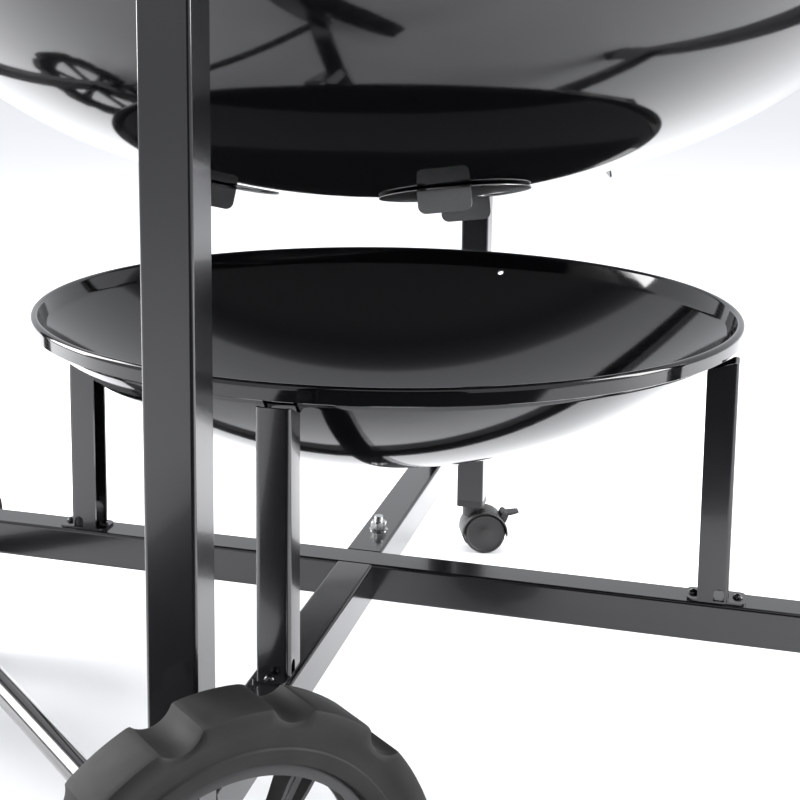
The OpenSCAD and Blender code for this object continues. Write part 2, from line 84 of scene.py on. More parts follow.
def srgb(hex_colour):
    """Linear RGBA of an sRGB colour such as #a0b0c0."""
    def linear(part):
        value = int(part, 16) / 255
        return value / 12.92 if value <= 0.04045 else ((value + 0.055) / 1.055) ** 2.4
    return (*(linear(hex_colour[i:i + 2]) for i in (1, 3, 5)), 1)


def add_node(tree, kind, inputs=None, **settings):
    """Adds one node. Inputs are by name or number: a value, or the socket to link from."""
    node = tree.nodes.new(kind)
    for name, value in settings.items():
        setattr(node, name, value)
    for key, value in (inputs or {}).items():
        if isinstance(value, bpy.types.NodeSocket):
            tree.links.new(value, node.inputs[key])
        else:
            node.inputs[key].default_value = value
    return node


def new_finish(name):
    """An empty material: its tree, its shader and the Object coordinates of the piece."""
    finish = bpy.data.materials.new(name)
    finish.use_nodes = True
    tree = finish.node_tree
    shader = tree.nodes["Principled BSDF"]
    place = add_node(tree, "ShaderNodeTexCoord").outputs["Object"]
    return finish, tree, shader, place


def noise(tree, place, size_mm, detail=3.0, roughness=0.5):
    """Noise whose features are about size_mm across."""
    return add_node(tree, "ShaderNodeTexNoise", {
        "Vector": place, "Scale": 1 / (size_mm * MM), "Detail": detail, "Roughness": roughness}).outputs["Fac"]


def between(tree, factor, low, high):
    """Factor 0 to 1 turned into a value from low to high."""
    return add_node(tree, "ShaderNodeMapRange", {
        "Value": factor, "From Min": 0.25, "From Max": 0.75, "To Min": low, "To Max": high}).outputs["Result"]


def blend_colour(tree, factor, first, second):
    mix = add_node(tree, "ShaderNodeMix", data_type="RGBA")
    tree.links.new(factor, mix.inputs["Factor"])
    mix.inputs["A"].default_value = srgb(first)
    mix.inputs["B"].default_value = srgb(second)
    return mix.outputs["Result"]


def bump(tree, height, depth_mm, normal=None):
    inputs = {"Height": height, "Distance": depth_mm * MM, "Strength": 1.0}
    if normal is not None:
        inputs["Normal"] = normal
    return add_node(tree, "ShaderNodeBump", inputs).outputs["Normal"]


def powder_coat():
    """Gloss black polyester powder coat: deep black with soft reflections and a fine orange peel."""
    finish, tree, shader, place = new_finish("gloss black powder coat")
    # the peel is about 1 mm across and is drawn at 3 mm so that it shows
    peel = noise(tree, place, 3.0, detail=1.0)
    patches = noise(tree, place, 90.0)
    link = tree.links.new
    link(blend_colour(tree, patches, "#0e0e10", "#141416"), shader.inputs["Base Color"])
    link(between(tree, patches, 0.13, 0.2), shader.inputs["Roughness"])
    link(bump(tree, peel, 0.012), shader.inputs["Normal"])
    shader.inputs["IOR"].default_value = 1.52
    shader.inputs["Coat Weight"].default_value = 0.3
    shader.inputs["Coat Roughness"].default_value = 0.06
    return finish


def vitreous_enamel():
    """Black porcelain enamel fired on steel: glassy, sharp reflections over a very slight wave."""
    finish, tree, shader, place = new_finish("black vitreous enamel")
    wave = noise(tree, place, 70.0, detail=1.0)
    fire = noise(tree, place, 2.5, detail=2.0)
    cloud = noise(tree, place, 160.0)
    link = tree.links.new
    link(blend_colour(tree, cloud, "#050506", "#09090b"), shader.inputs["Base Color"])
    link(between(tree, fire, 0.05, 0.085), shader.inputs["Roughness"])
    link(bump(tree, fire, 0.002, bump(tree, wave, 0.05)), shader.inputs["Normal"])
    shader.inputs["IOR"].default_value = 1.55
    return finish


def mill_steel():
    """Rolled stainless sheet, pressed and tumbled: grey, grainy and only half bright."""
    finish, tree, shader, place = new_finish("tumbled stainless sheet")
    grain = noise(tree, place, 0.9, detail=4.0, roughness=0.7)
    cloud = noise(tree, place, 14.0)
    link = tree.links.new
    link(blend_colour(tree, grain, "#8f9092", "#b4b4b2"), shader.inputs["Base Color"])
    link(between(tree, cloud, 0.26, 0.42), shader.inputs["Roughness"])
    link(bump(tree, grain, 0.012), shader.inputs["Normal"])
    shader.inputs["Metallic"].default_value = 1.0
    return finish


def zinc_plate():
    """Bright zinc plating on fasteners: pale metal with a cloudy, slightly blue passivation."""
    finish, tree, shader, place = new_finish("bright zinc plate")
    cloud = noise(tree, place, 5.0)
    scratch = noise(tree, place, 0.7, detail=2.0)
    link = tree.links.new
    link(blend_colour(tree, cloud, "#c3c7cc", "#d9d8d2"), shader.inputs["Base Color"])
    link(between(tree, cloud, 0.2, 0.34), shader.inputs["Roughness"])
    link(bump(tree, scratch, 0.006), shader.inputs["Normal"])
    shader.inputs["Metallic"].default_value = 1.0
    return finish


def plated_wire(name, dark, light, rough):
    """Electroplated wire: bright along its length, with the drawn streaks still to be felt."""
    finish, tree, shader, place = new_finish(name)
    streak = noise(tree, place, 4.0, detail=4.0)
    link = tree.links.new
    link(blend_colour(tree, streak, dark, light), shader.inputs["Base Color"])
    link(between(tree, streak, rough, rough + 0.14), shader.inputs["Roughness"])
    link(bump(tree, streak, 0.01), shader.inputs["Normal"])
    shader.inputs["Metallic"].default_value = 1.0
    return finish


def moulded_nylon(name, dark, light, rough, grain_mm, depth_mm):
    """Injection-moulded black nylon: satin, with the mould's spark-eroded grain."""
    finish, tree, shader, place = new_finish(name)
    # the grain is about 0.2 mm across and is drawn coarser so that it shows
    grain = noise(tree, place, grain_mm, detail=2.0)
    patches = noise(tree, place, 25.0)
    link = tree.links.new
    link(blend_colour(tree, patches, dark, light), shader.inputs["Base Color"])
    link(between(tree, grain, rough - 0.05, rough + 0.08), shader.inputs["Roughness"])
    link(bump(tree, grain, depth_mm), shader.inputs["Normal"])
    shader.inputs["IOR"].default_value = 1.53
    return finish


def tread_rubber():
    """Solid black rubber: matt, with a dusty bloom that lightens it in patches."""
    finish, tree, shader, place = new_finish("solid black rubber")
    bloom = noise(tree, place, 30.0, detail=5.0)
    pores = noise(tree, place, 1.2, detail=2.0)
    link = tree.links.new
    link(blend_colour(tree, bloom, "#0a0a0a", "#131312"), shader.inputs["Base Color"])
    link(between(tree, bloom, 0.58, 0.74), shader.inputs["Roughness"])
    link(bump(tree, pores, 0.05), shader.inputs["Normal"])
    shader.inputs["IOR"].default_value = 1.4
    return finish


def polished_bezel():
    """Polished stainless: clear reflections with fine lines left by the mop."""
    finish, tree, shader, place = new_finish("polished stainless")
    lines = noise(tree, place, 1.5, detail=3.0)
    link = tree.links.new
    link(blend_colour(tree, lines, "#cfd0d1", "#dedddb"), shader.inputs["Base Color"])
    link(between(tree, lines, 0.08, 0.16), shader.inputs["Roughness"])
    shader.inputs["Metallic"].default_value = 1.0
    return finish


def dial_paint(name, dark, light, rough):
    """Stove paint on thin sheet: even colour with a faint tooth."""
    finish, tree, shader, place = new_finish(name)
    tooth = noise(tree, place, 1.5)
    link = tree.links.new
    link(blend_colour(tree, tooth, dark, light), shader.inputs["Base Color"])
    link(between(tree, tooth, rough, rough + 0.1), shader.inputs["Roughness"])
    shader.inputs["IOR"].default_value = 1.5
    return finish


def window_glass():
    """Clear soda-lime glass, with a trace of dust that roughens it in patches."""
    finish, tree, shader, place = new_finish("clear gauge glass")
    dust = noise(tree, place, 8.0)
    tree.links.new(between(tree, dust, 0.0, 0.03), shader.inputs["Roughness"])
    tree.links.new(blend_colour(tree, dust, "#f4f9f8", "#fcfefd"), shader.inputs["Base Color"])
    shader.inputs["Transmission Weight"].default_value = 1.0
    shader.inputs["IOR"].default_value = 1.5
    return finish


POWDER = powder_coat()
ENAMEL = vitreous_enamel()
SHEET = mill_steel()
ZINC = zinc_plate()
GRATE_WIRE = plated_wire("nickel-plated grate wire", "#b9b8b4", "#d2d1cd", 0.16)
COAL_WIRE = plated_wire("dull plated charcoal wire", "#83827f", "#a09f9b", 0.34)
NYLON = moulded_nylon("moulded black nylon", "#161616", "#1c1c1c", 0.42, 0.8, 0.012)
GRIP = moulded_nylon("glass-filled black nylon", "#1a1a1a", "#232322", 0.5, 1.0, 0.02)
RUBBER = tread_rubber()
CASTER_RUBBER = moulded_nylon("hard black caster nylon", "#1b1b1b", "#222222", 0.48, 0.9, 0.01)
BEZEL = polished_bezel()
DIAL = dial_paint("white dial paint", "#e4e3de", "#efeeea", 0.35)
MARKS = dial_paint("black dial ink", "#101010", "#1a1a1a", 0.4)
NEEDLE = dial_paint("red needle lacquer", "#a01512", "#b51d18", 0.25)
GLASS = window_glass()


# ---------- mesh makers ----------

def new_piece(name, points, faces, finish, place=Matrix(), crease=32):
    """A closed mesh piece with its place in its mesh and its faces outward."""
    mesh = bpy.data.meshes.new(name)
    mesh.from_pydata([place @ Vector(p) for p in points], [], faces)
    work = bmesh.new()
    work.from_mesh(mesh)
    bmesh.ops.remove_doubles(work, verts=work.verts, dist=1e-6)
    bmesh.ops.recalc_face_normals(work, faces=work.faces)
    work.to_mesh(mesh)
    work.free()
    return piece_of(name, mesh, finish, crease)


def piece_of(name, mesh, finish, crease=32):
    mesh.materials.clear()
    mesh.materials.append(finish)
    mesh.shade_smooth()
    mesh.set_sharp_from_angle(angle=math.radians(crease))
    piece = bpy.data.objects.new(name, mesh)
    bpy.context.scene.collection.objects.link(piece)
    return piece


def lofted(loops, closed=False):
    """Points and faces of a skin over loops of equal length. Open skins are capped."""
    size = len(loops[0])
    points = [p for loop in loops for p in loop]
    faces = []
    for i in range(len(loops) if closed else len(loops) - 1):
        a, b = i * size, (i + 1) % len(loops) * size
        for j in range(size):
            k = (j + 1) % size
            faces.append((a + j, a + k, b + k, b + j))
    if not closed:
        faces.append(tuple(range(size))[::-1])
        faces.append(tuple(range((len(loops) - 1) * size, len(loops) * size)))
    return points, faces


def turned(profile, steps, reach=lambda angle, r: r):
    """Points and faces of a profile of (radius, height) turned round z. A profile that starts
    and ends at radius 0 closes at the axis; any other is a ring. reach may vary the radius."""
    on_axis = profile[0][0] == 0
    points, faces = [], []
    for step in range(steps):
        angle = math.tau * step / steps
        for r, z in profile:
            far = reach(angle, r)
            points.append((far * math.cos(angle), far * math.sin(angle), z))
    size = len(profile)
    for step in range(steps):
        a, b = step * size, (step + 1) % steps * size
        for i in range(size - 1 if on_axis else size):
            k = (i + 1) % size
            faces.append((a + i, b + i, b + k, a + k))
    return points, faces


def rod(path, radius, closed=False, sides=12):
    """Points and faces of a round rod along a path."""
    path = [Vector(p) for p in path]
    loops, side = [], None
    for i, p in enumerate(path):
        ahead = path[(i + 1) % len(path)] if closed or i < len(path) - 1 else p
        behind = path[i - 1] if closed or i else p
        along = (ahead - behind).normalized()
        if side is None:
            side = along.orthogonal().normalized()
        side = (side - along * side.dot(along)).normalized()
        across = along.cross(side)
        loops.append([p + radius * (side * math.cos(t) + across * math.sin(t))
                      for t in (math.tau * j / sides for j in range(sides))])
    return lofted(loops, closed)


def together(*shapes):
    """One list of points and faces from several."""
    points, faces = [], []
    for more_points, more_faces in shapes:
        shift = len(points)
        points += [tuple(p) for p in more_points]
        faces += [tuple(i + shift for i in face) for face in more_faces]
    return points, faces


def moved(shape, place):
    return [place @ Vector(p) for p in shape[0]], shape[1]


def arc(radius, start, end, steps, centre=(0, 0)):
    """Points (x, y) of an arc, angles in degrees."""
    return [(centre[0] + radius * math.cos(math.radians(start + (end - start) * i / steps)),
             centre[1] + radius * math.sin(math.radians(start + (end - start) * i / steps)))
            for i in range(steps + 1)]


def plug(radius, half_length, place, steps=48):
    """A cylinder along z, for drilling."""
    return moved(turned([(0, -half_length), (radius, -half_length), (radius, half_length), (0, half_length)],
                        steps), place)


def drilled(piece, cutters, finish, crease=32):
    """The piece with the cutters' shapes taken out of it."""
    tool = new_piece(piece.name + "_tool", *together(*cutters), finish)
    cut = piece.modifiers.new("cut", "BOOLEAN")
    cut.object = tool
    cut.solver = "EXACT"
    shown = piece.evaluated_get(bpy.context.evaluated_depsgraph_get())
    mesh = bpy.data.meshes.new_from_object(shown)
    name = piece.name
    for old in (piece, tool):
        bpy.data.objects.remove(old)
    mesh.name = name
    return piece_of(name, mesh, finish, crease)


def stands_for(piece, body, slot, *nodes):
    """Lets a piece ride on its body in place of CAD nodes."""
    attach(piece, body)
    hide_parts(*nodes)
    return piece


# ---------- geometry nodes for what repeats ----------

def new_tree(name, sockets):
    """An empty geometry tree with named inputs. Returns it with its input and output nodes."""
    tree = bpy.data.node_groups.new(name, "GeometryNodeTree")
    for label, kind in sockets:
        tree.interface.new_socket(label, in_out="INPUT", socket_type=kind)
    tree.interface.new_socket("Geometry", in_out="OUTPUT", socket_type="NodeSocketGeometry")
    return tree, add_node(tree, "NodeGroupInput"), add_node(tree, "NodeGroupOutput")


def math_node(tree, operation, a, b=0.0):
    return add_node(tree, "ShaderNodeMath", {0: a, 1: b}, operation=operation).outputs[0]


def grown(name, tree, finish, crease=32, **settings):
    """The plain mesh that a tree makes. Settings are its inputs by name, with _ for a space."""
    maker = bpy.data.objects.new(name + "_maker", bpy.data.meshes.new(name + "_maker"))
    bpy.context.scene.collection.objects.link(maker)
    modifier = maker.modifiers.new("grow", "NODES")
    modifier.node_group = tree
    wanted = {key.replace("_", " "): value for key, value in settings.items()}
    wanted["Finish"] = finish
    for socket in tree.interface.items_tree:
        if socket.in_out == "INPUT" and socket.name in wanted:
            modifier[socket.identifier] = wanted[socket.name]
    bpy.context.view_layer.update()
    mesh = bpy.data.meshes.new_from_object(maker.evaluated_get(bpy.context.evaluated_depsgraph_get()))
    maker.modifiers.remove(modifier)
    bpy.data.objects.remove(maker)
    mesh.name = name
    return piece_of(name, mesh, finish, crease)


def bar_tree():
    """Parallel rods across a round grate, each cut to the chord where it lies."""
    tree, given, made = new_tree("grate bars", [
        ("Grate radius", "NodeSocketFloat"), ("Pitch", "NodeSocketFloat"), ("Bars", "NodeSocketInt"),
        ("Wire radius", "NodeSocketFloat"), ("Longest half", "NodeSocketFloat"),
        ("Inner edge", "NodeSocketFloat"), ("One side", "NodeSocketBool"), ("Finish", "NodeSocketMaterial")])
    pitch, bars = given.outputs["Pitch"], given.outputs["Bars"]
    first = math_node(tree, "MULTIPLY", math_node(tree, "SUBTRACT", bars, 1.0),
                      math_node(tree, "MULTIPLY", pitch, -0.5))
    row = add_node(tree, "GeometryNodeMeshLine", {
        "Count": bars,
        "Start Location": add_node(tree, "ShaderNodeCombineXYZ", {"X": first}).outputs[0],
        "Offset": add_node(tree, "ShaderNodeCombineXYZ", {"X": pitch}).outputs[0]}).outputs["Mesh"]
    x = add_node(tree, "ShaderNodeSeparateXYZ", {
        "Vector": add_node(tree, "GeometryNodeInputPosition").outputs[0]}).outputs["X"]
    radius = given.outputs["Grate radius"]
    chord = math_node(tree, "SQRT", math_node(tree, "SUBTRACT", math_node(tree, "MULTIPLY", radius, radius),
                                              math_node(tree, "MULTIPLY", x, x)))
    far = math_node(tree, "MINIMUM", chord, given.outputs["Longest half"])
    near = add_node(tree, "GeometryNodeSwitch", {
        "Switch": given.outputs["One side"], "False": math_node(tree, "MULTIPLY", far, -1.0),
        "True": given.outputs["Inner edge"]}, input_type="FLOAT").outputs[0]
    half = math_node(tree, "MULTIPLY", math_node(tree, "SUBTRACT", far, near), 0.5)
    centre = math_node(tree, "MULTIPLY", math_node(tree, "ADD", far, near), 0.5)
    # the length is kept on each point before it moves
    kept = add_node(tree, "GeometryNodeStoreNamedAttribute", {
        "Geometry": row, "Name": "half length", "Value": half}, data_type="FLOAT", domain="POINT")
    shifted = add_node(tree, "GeometryNodeSetPosition", {
        "Geometry": kept.outputs["Geometry"],
        "Offset": add_node(tree, "ShaderNodeCombineXYZ", {"Y": centre}).outputs[0]})
    length = add_node(tree, "GeometryNodeInputNamedAttribute", {"Name": "half length"}, data_type="FLOAT")
    unit = add_node(tree, "GeometryNodeCurvePrimitiveLine", {"Start": (0, -1, 0), "End": (0, 1, 0)})
    placed = add_node(tree, "GeometryNodeInstanceOnPoints", {
        "Points": shifted.outputs["Geometry"], "Instance": unit.outputs["Curve"],
        "Scale": add_node(tree, "ShaderNodeCombineXYZ", {
            "X": 1.0, "Y": length.outputs["Attribute"], "Z": 1.0}).outputs[0]})
    lines = add_node(tree, "GeometryNodeRealizeInstances", {"Geometry": placed.outputs["Instances"]})
    section = add_node(tree, "GeometryNodeCurvePrimitiveCircle", {
        "Resolution": 12, "Radius": given.outputs["Wire radius"]})
    rods = add_node(tree, "GeometryNodeCurveToMesh", {
        "Curve": lines.outputs["Geometry"], "Profile Curve": section.outputs["Curve"], "Fill Caps": True})
    whole = add_node(tree, "GeometryNodeRealizeInstances", {"Geometry": rods.outputs["Mesh"]})
    painted = add_node(tree, "GeometryNodeSetMaterial", {
        "Geometry": whole.outputs["Geometry"], "Material": given.outputs["Finish"]})
    tree.links.new(painted.outputs["Geometry"], made.inputs["Geometry"])
    return tree


def circle_tree():
    """Copies of one part, turned evenly round z."""
    tree, given, made = new_tree("copies round an axis", [
        ("Part", "NodeSocketObject"), ("Count", "NodeSocketInt"), ("First turn", "NodeSocketFloat"),
        ("Step turn", "NodeSocketFloat"), ("Finish", "NodeSocketMaterial")])
    spots = add_node(tree, "GeometryNodeMeshLine", {"Count": given.outputs["Count"], "Offset": (0, 0, 0)})
    part = add_node(tree, "GeometryNodeObjectInfo", {"Object": given.outputs["Part"]})
    index = add_node(tree, "GeometryNodeInputIndex").outputs[0]
    turn = math_node(tree, "ADD", math_node(tree, "MULTIPLY", index, given.outputs["Step turn"]),
                     given.outputs["First turn"])
    placed = add_node(tree, "GeometryNodeInstanceOnPoints", {
        "Points": spots.outputs["Mesh"], "Instance": part.outputs["Geometry"],
        "Rotation": add_node(tree, "ShaderNodeCombineXYZ", {"Z": turn}).outputs[0]})
    whole = add_node(tree, "GeometryNodeRealizeInstances", {"Geometry": placed.outputs["Instances"]})
    painted = add_node(tree, "GeometryNodeSetMaterial", {
        "Geometry": whole.outputs["Geometry"], "Material": given.outputs["Finish"]})
    tree.links.new(painted.outputs["Geometry"], made.inputs["Geometry"])
    return tree


def spot_tree():
    """Copies of one part, upright on the points of another mesh."""
    tree, given, made = new_tree("copies on spots", [
        ("Part", "NodeSocketObject"), ("Spots", "NodeSocketObject"), ("Finish", "NodeSocketMaterial")])
    part = add_node(tree, "GeometryNodeObjectInfo", {"Object": given.outputs["Part"]})
    spots = add_node(tree, "GeometryNodeObjectInfo", {"Object": given.outputs["Spots"]})
    placed = add_node(tree, "GeometryNodeInstanceOnPoints", {
        "Points": spots.outputs["Geometry"], "Instance": part.outputs["Geometry"]})
    whole = add_node(tree, "GeometryNodeRealizeInstances", {"Geometry": placed.outputs["Instances"]})
    painted = add_node(tree, "GeometryNodeSetMaterial", {
        "Geometry": whole.outputs["Geometry"], "Material": given.outputs["Finish"]})
    tree.links.new(painted.outputs["Geometry"], made.inputs["Geometry"])
    return tree


BAR_TREE, CIRCLE_TREE, SPOT_TREE = bar_tree(), circle_tree(), spot_tree()


def round_axis(name, shape, count, finish, first=0.0, step=None, crease=32):
    """Points and faces of a shape repeated round z, as a list to join to others."""
    part = new_piece(name + "_part", *shape, finish, crease=crease)
    copies = grown(name, CIRCLE_TREE, finish, crease, Part=part, Count=count, First_turn=first,
                   Step_turn=math.tau / count if step is None else step)
    found = ([tuple(v.co) for v in copies.data.vertices], [tuple(p.vertices) for p in copies.data.polygons])
    for old in (part, copies):
        bpy.data.objects.remove(old)
    return found


def on_spots(name, shape, spots, finish, crease=32):
    """One piece made of copies of a shape, standing upright on spots."""
    part = new_piece(name + "_part", *shape, finish)
    mesh = bpy.data.meshes.new(name + "_spots")
    mesh.from_pydata([tuple(p) for p in spots], [], [])
    carrier = bpy.data.objects.new(name + "_spots", mesh)
    bpy.context.scene.collection.objects.link(carrier)
    piece = grown(name, SPOT_TREE, finish, crease, Part=part, Spots=carrier)
    for old in (part, carrier):
        bpy.data.objects.remove(old)
    return piece


# ---------- enamelled bowls and lid ----------

FINE = 384


def arc_of_sphere(edge_r, edge_z, bottom_z, inset, steps):
    """(radius, height) from the bottom to the edge of a dished wall, inset from its outside."""
    depth = edge_z - bottom_z
    rho = (edge_r ** 2 + depth ** 2) / (2 * depth)
    full = math.asin(edge_r / rho)
    return [((rho - inset) * math.sin(full * i / steps), bottom_z + rho - (rho - inset) * math.cos(full * i / steps))
            for i in range(steps + 1)]


def ash_bowl():
    """Dished bowl whose rim turns up to a crest and down into a short skirt."""
    low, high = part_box("ash_bowl")
    rim_r, crest = (high.x - low.x) / 2, high.z
    edge_r, edge_z, wall = rim_r - 8 * MM, crest - 16 * MM, 2 * MM
    outside = arc_of_sphere(edge_r, edge_z, low.z, 0, 72)
    inside = arc_of_sphere(edge_r, edge_z, low.z, wall, 72)
    under = [(rim_r - 5 * MM, crest - 8.5 * MM), (rim_r - 2.8 * MM, crest - 4.5 * MM),
             (rim_r - 2.2 * MM, crest - 7 * MM), (rim_r - 2 * MM, crest - 12.6 * MM),
             (rim_r - 1 * MM, crest - 13 * MM), (rim_r - 0.2 * MM, crest - 12.5 * MM)]
    top = [(rim_r, crest - 4 * MM)] + [(rim_r - 3.5 * MM + x, crest - 3.5 * MM + y)
                                      for x, y in arc(3.5 * MM, 0, 120, 10)] + [(rim_r - 6.6 * MM, crest - 2.4 * MM)]
    profile = outside + under + top + inside[::-1]
    profile[0] = (0, profile[0][1])
    profile[-1] = (0, profile[-1][1])
    bowl = new_piece("ash_bowl_enamel", *turned(profile, FINE), ENAMEL, KETTLE_AXIS, crease=40)
    hole_turn = math.radians(78)
    way = Matrix.Rotation(hole_turn, 4, "Z") @ Matrix.Translation((edge_r - 6 * MM, 0, edge_z - 5 * MM))
    hole = plug(3 * MM, 10 * MM, KETTLE_AXIS @ way @ Matrix.Rotation(math.radians(138), 4, "Y"), 32)
    bowl = drilled(bowl, [hole], ENAMEL, crease=40)
    stands_for(bowl, "ash_bowl", "black_enamel", "ash_bowl")


def elliptic_wall(radius, depth, rim_z, inset, steps, upward):
    """(radius, height) from the pole to the rim of an elliptical wall."""
    return [((radius - inset) * math.sin(math.pi / 2 * i / steps),
             rim_z + upward * (depth - inset) * math.cos(math.pi / 2 * i / steps)) for i in range(steps + 1)]


def vent_cutters(place, hole_r, hole_at):
    """Three drills round a vent's rivet."""
    return [plug(hole_r, 20 * MM, place @ Matrix.Rotation(math.radians(60 + 120 * i), 4, "Z")
                 @ Matrix.Translation((hole_at, 0, 0))) for i in range(3)]


VENTS = {}
# how far each vent's pattern of holes and tabs is turned from the kettle's radius
for side, turn in (("front", 32), ("right", 22), ("rear", 32), ("left", 104)):
    centre = Vector(JOINTS[side + "_damper_turn"]["pos_m"]) - KETTLE
    place = at_joint(side + "_damper_turn", (-centre.y, centre.x, 0))
    VENTS[side] = place @ Matrix.Rotation(math.radians(turn), 4, "Z")
LID_VENT = at_joint("lid_damper_turn", (0, 1, 0))
GAUGE = at_joint("thermometer_turn", (1, 0, 0))
DISC_R = 59 * MM
HOLE_AT = DISC_R - 25 * MM


def kettle_bowl():
    low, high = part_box("kettle_bowl")
    wall, bead = 2 * MM, 4 * MM
    rim_z = high.z - bead
    radius = (high.x - low.x) / 2 - bead - 2 * MM
    outside = elliptic_wall(radius, rim_z - low.z, rim_z, 0, 90, -1)
    inside = elliptic_wall(radius, rim_z - low.z, rim_z, wall, 90, -1)
    rolled = arc(bead, -100, 185, 24, (radius + 2 * MM, rim_z))
    profile = outside[:-2] + rolled + inside[:-1][::-1]
    profile[0] = (0, profile[0][1])
    profile[-1] = (0, profile[-1][1])
    bowl = new_piece("kettle_enamel", *turned(profile, FINE), ENAMEL, KETTLE_AXIS)
    drills = [d for place in VENTS.values() for d in vent_cutters(place, 15 * MM, HOLE_AT)]
    stands_for(drilled(bowl, drills, ENAMEL), "cart", "black_enamel", "kettle_bowl")


def lid_shell():
    low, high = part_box("lid_shell")
    wall = 2 * MM
    skirt_r = (high.x - low.x) / 2
    radius = skirt_r - 9 * MM
    rim_z = low.z + 13 * MM
    outside = elliptic_wall(radius, high.z - rim_z, rim_z, 0, 90, 1)
    inside = elliptic_wall(radius, high.z - rim_z, rim_z, wall, 90, 1)
    shoulder = arc(3 * MM, 90, 0, 8, (skirt_r - 3 * MM, rim_z - 2.8 * MM))
    flange = [(radius + 1.5 * MM, rim_z + 0.3 * MM)] + shoulder
    skirt = [(skirt_r, low.z + 0.8 * MM), (skirt_r - 0.5 * MM, low.z), (skirt_r - 1.5 * MM, low.z),
             (skirt_r - 2 * MM, low.z + 0.8 * MM), (skirt_r - 2 * MM, rim_z - 3.4 * MM),
             (skirt_r - 3.4 * MM, rim_z - 2 * MM), (radius - wall, rim_z - 2 * MM)]
    profile = outside[:-1] + flange + skirt + inside[:-1][::-1]
    profile[0] = (0, profile[0][1])
    profile[-1] = (0, profile[-1][1])
    shell = new_piece("lid_enamel", *turned(profile[::-1], FINE), ENAMEL, KETTLE_AXIS)
    drills = vent_cutters(LID_VENT, 11 * MM, HOLE_AT) + [plug(6.1 * MM, 30 * MM, GAUGE)]
    stands_for(drilled(shell, drills, ENAMEL), "lid", "black_enamel", "lid_shell")


# ---------- dampers ----------

def folded_tab():
    """Finger tab: runs out of the disc, bends through a right angle and ends in round corners."""
    half, drop, sheet, corner, fold = 20 * MM, 18.9 * MM, 1.4 * MM, 6 * MM, 2.2 * MM
    start = DISC_R - 9 * MM
    bend_x = DISC_R - 1.6 * MM
    middle_line = [(start, 0.0, 0.0)]
    middle_line += [(bend_x - fold + x, fold + y, 0.0) for x, y in arc(fold, -90, 0, 8)]
    flat_end = drop - corner
    middle_line.append((bend_x, (fold + flat_end) / 2, 0.0))
    middle_line += [(bend_x, flat_end + corner * math.sin(math.radians(a)), corner * (1 - math.cos(math.radians(a))))
                    for a in range(0, 91, 10)]
    loops = []
    for i, (x, z, narrow) in enumerate(middle_line):
        ahead = middle_line[min(i + 1, len(middle_line) - 1)]
        behind = middle_line[max(i - 1, 0)]
        along = Vector((ahead[0] - behind[0], 0, ahead[1] - behind[1])).normalized()
        out = Vector((along.z, 0, -along.x)) * sheet / 2
        core = Vector((x, 0, z - 1.2 * MM))
        wide = Vector((0, half - narrow, 0))
        loops.append([core + out - wide, core + out + wide, core - out + wide, core - out - wide])
    return lofted(loops)


def damper(side):
    """Pressed disc with a beaded edge, three air holes and two finger tabs."""
    low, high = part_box("kettle_bowl")
    rim_z = high.z - 4 * MM
    kettle_r = (high.x - low.x) / 2 - 6 * MM
    rho = kettle_r ** 2 / (rim_z - low.z) + 6 * MM
    sheet = 1.4 * MM

    def sunk(r):
        return math.sqrt(rho ** 2 - r ** 2) - rho + 1 * MM
    lower = [(DISC_R * i / 12, sunk(DISC_R * i / 12)) for i in range(12)]
    edge = [(DISC_R - 0.5 * MM, sunk(DISC_R)), (DISC_R, sunk(DISC_R) + 0.5 * MM),
            (DISC_R, sunk(DISC_R) + 0.9 * MM), (DISC_R - 0.5 * MM, sunk(DISC_R) + sheet)]
    upper = [(r, z + sheet) for r, z in lower]
    # a pressed bead near the edge stiffens the disc
    upper = [(r, z + 0.8 * MM * math.exp(-((r - 0.88 * DISC_R) / (2.2 * MM)) ** 2)) for r, z in upper]
    disc = turned(lower + edge + upper[::-1], 160)
    plate = new_piece(side + "_damper_disc", *disc, SHEET, VENTS[side])
    plate = drilled(plate, vent_cutters(VENTS[side], 14 * MM, HOLE_AT), SHEET)
    tabs = together(folded_tab(), moved(folded_tab(), Matrix.Rotation(math.pi, 4, "Z")))
    stands_for(plate, side + "_vent", "damper_metal", "damper_" + side)
    wings = new_piece(side + "_damper_tabs", *tabs, SHEET, VENTS[side], crease=50)
    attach(wings, side + "_vent")


def lid_damper():
    disc_r = 52 * MM
    sheet = 1.5 * MM
    profile = [(0, 0.5 * MM), (disc_r - 0.4 * MM, 0.5 * MM), (disc_r, 0.9 * MM), (disc_r, 1.6 * MM),
               (disc_r - 0.4 * MM, 2 * MM), (0.84 * disc_r, 2 * MM), (0.8 * disc_r, 1.5 * MM),
               (0.3 * disc_r, 1.5 * MM), (0.26 * disc_r, 0.5 * MM + sheet), (0, 0.5 * MM + sheet)]
    plate = new_piece("lid_damper_disc", *turned(profile, 144), SHEET, LID_VENT)
    plate = drilled(plate, vent_cutters(LID_VENT, 12 * MM, HOLE_AT), SHEET)
    stands_for(plate, "lid_vent", "damper_metal", "lid_damper")
    knob = [(0, 0.8), (2, 0.8), (2, 2.4), (6, 2.4), (6.8, 3.2), (6.2, 7), (6, 10), (6.8, 13), (6.6, 15), (5.4, 16),
            (0, 16.1)]
    turned_knob = turned([(r * MM, z * MM) for r, z in knob], 48,
                         lambda angle, r: r * (1 + 0.03 * math.cos(12 * angle)))
    place = LID_VENT @ Matrix.Translation((42 * MM, 0, 0))
    stands_for(new_piece("lid_damper_grip", *turned_knob, GRIP, place), "lid_vent", "black_grip", "lid_damper_knob")


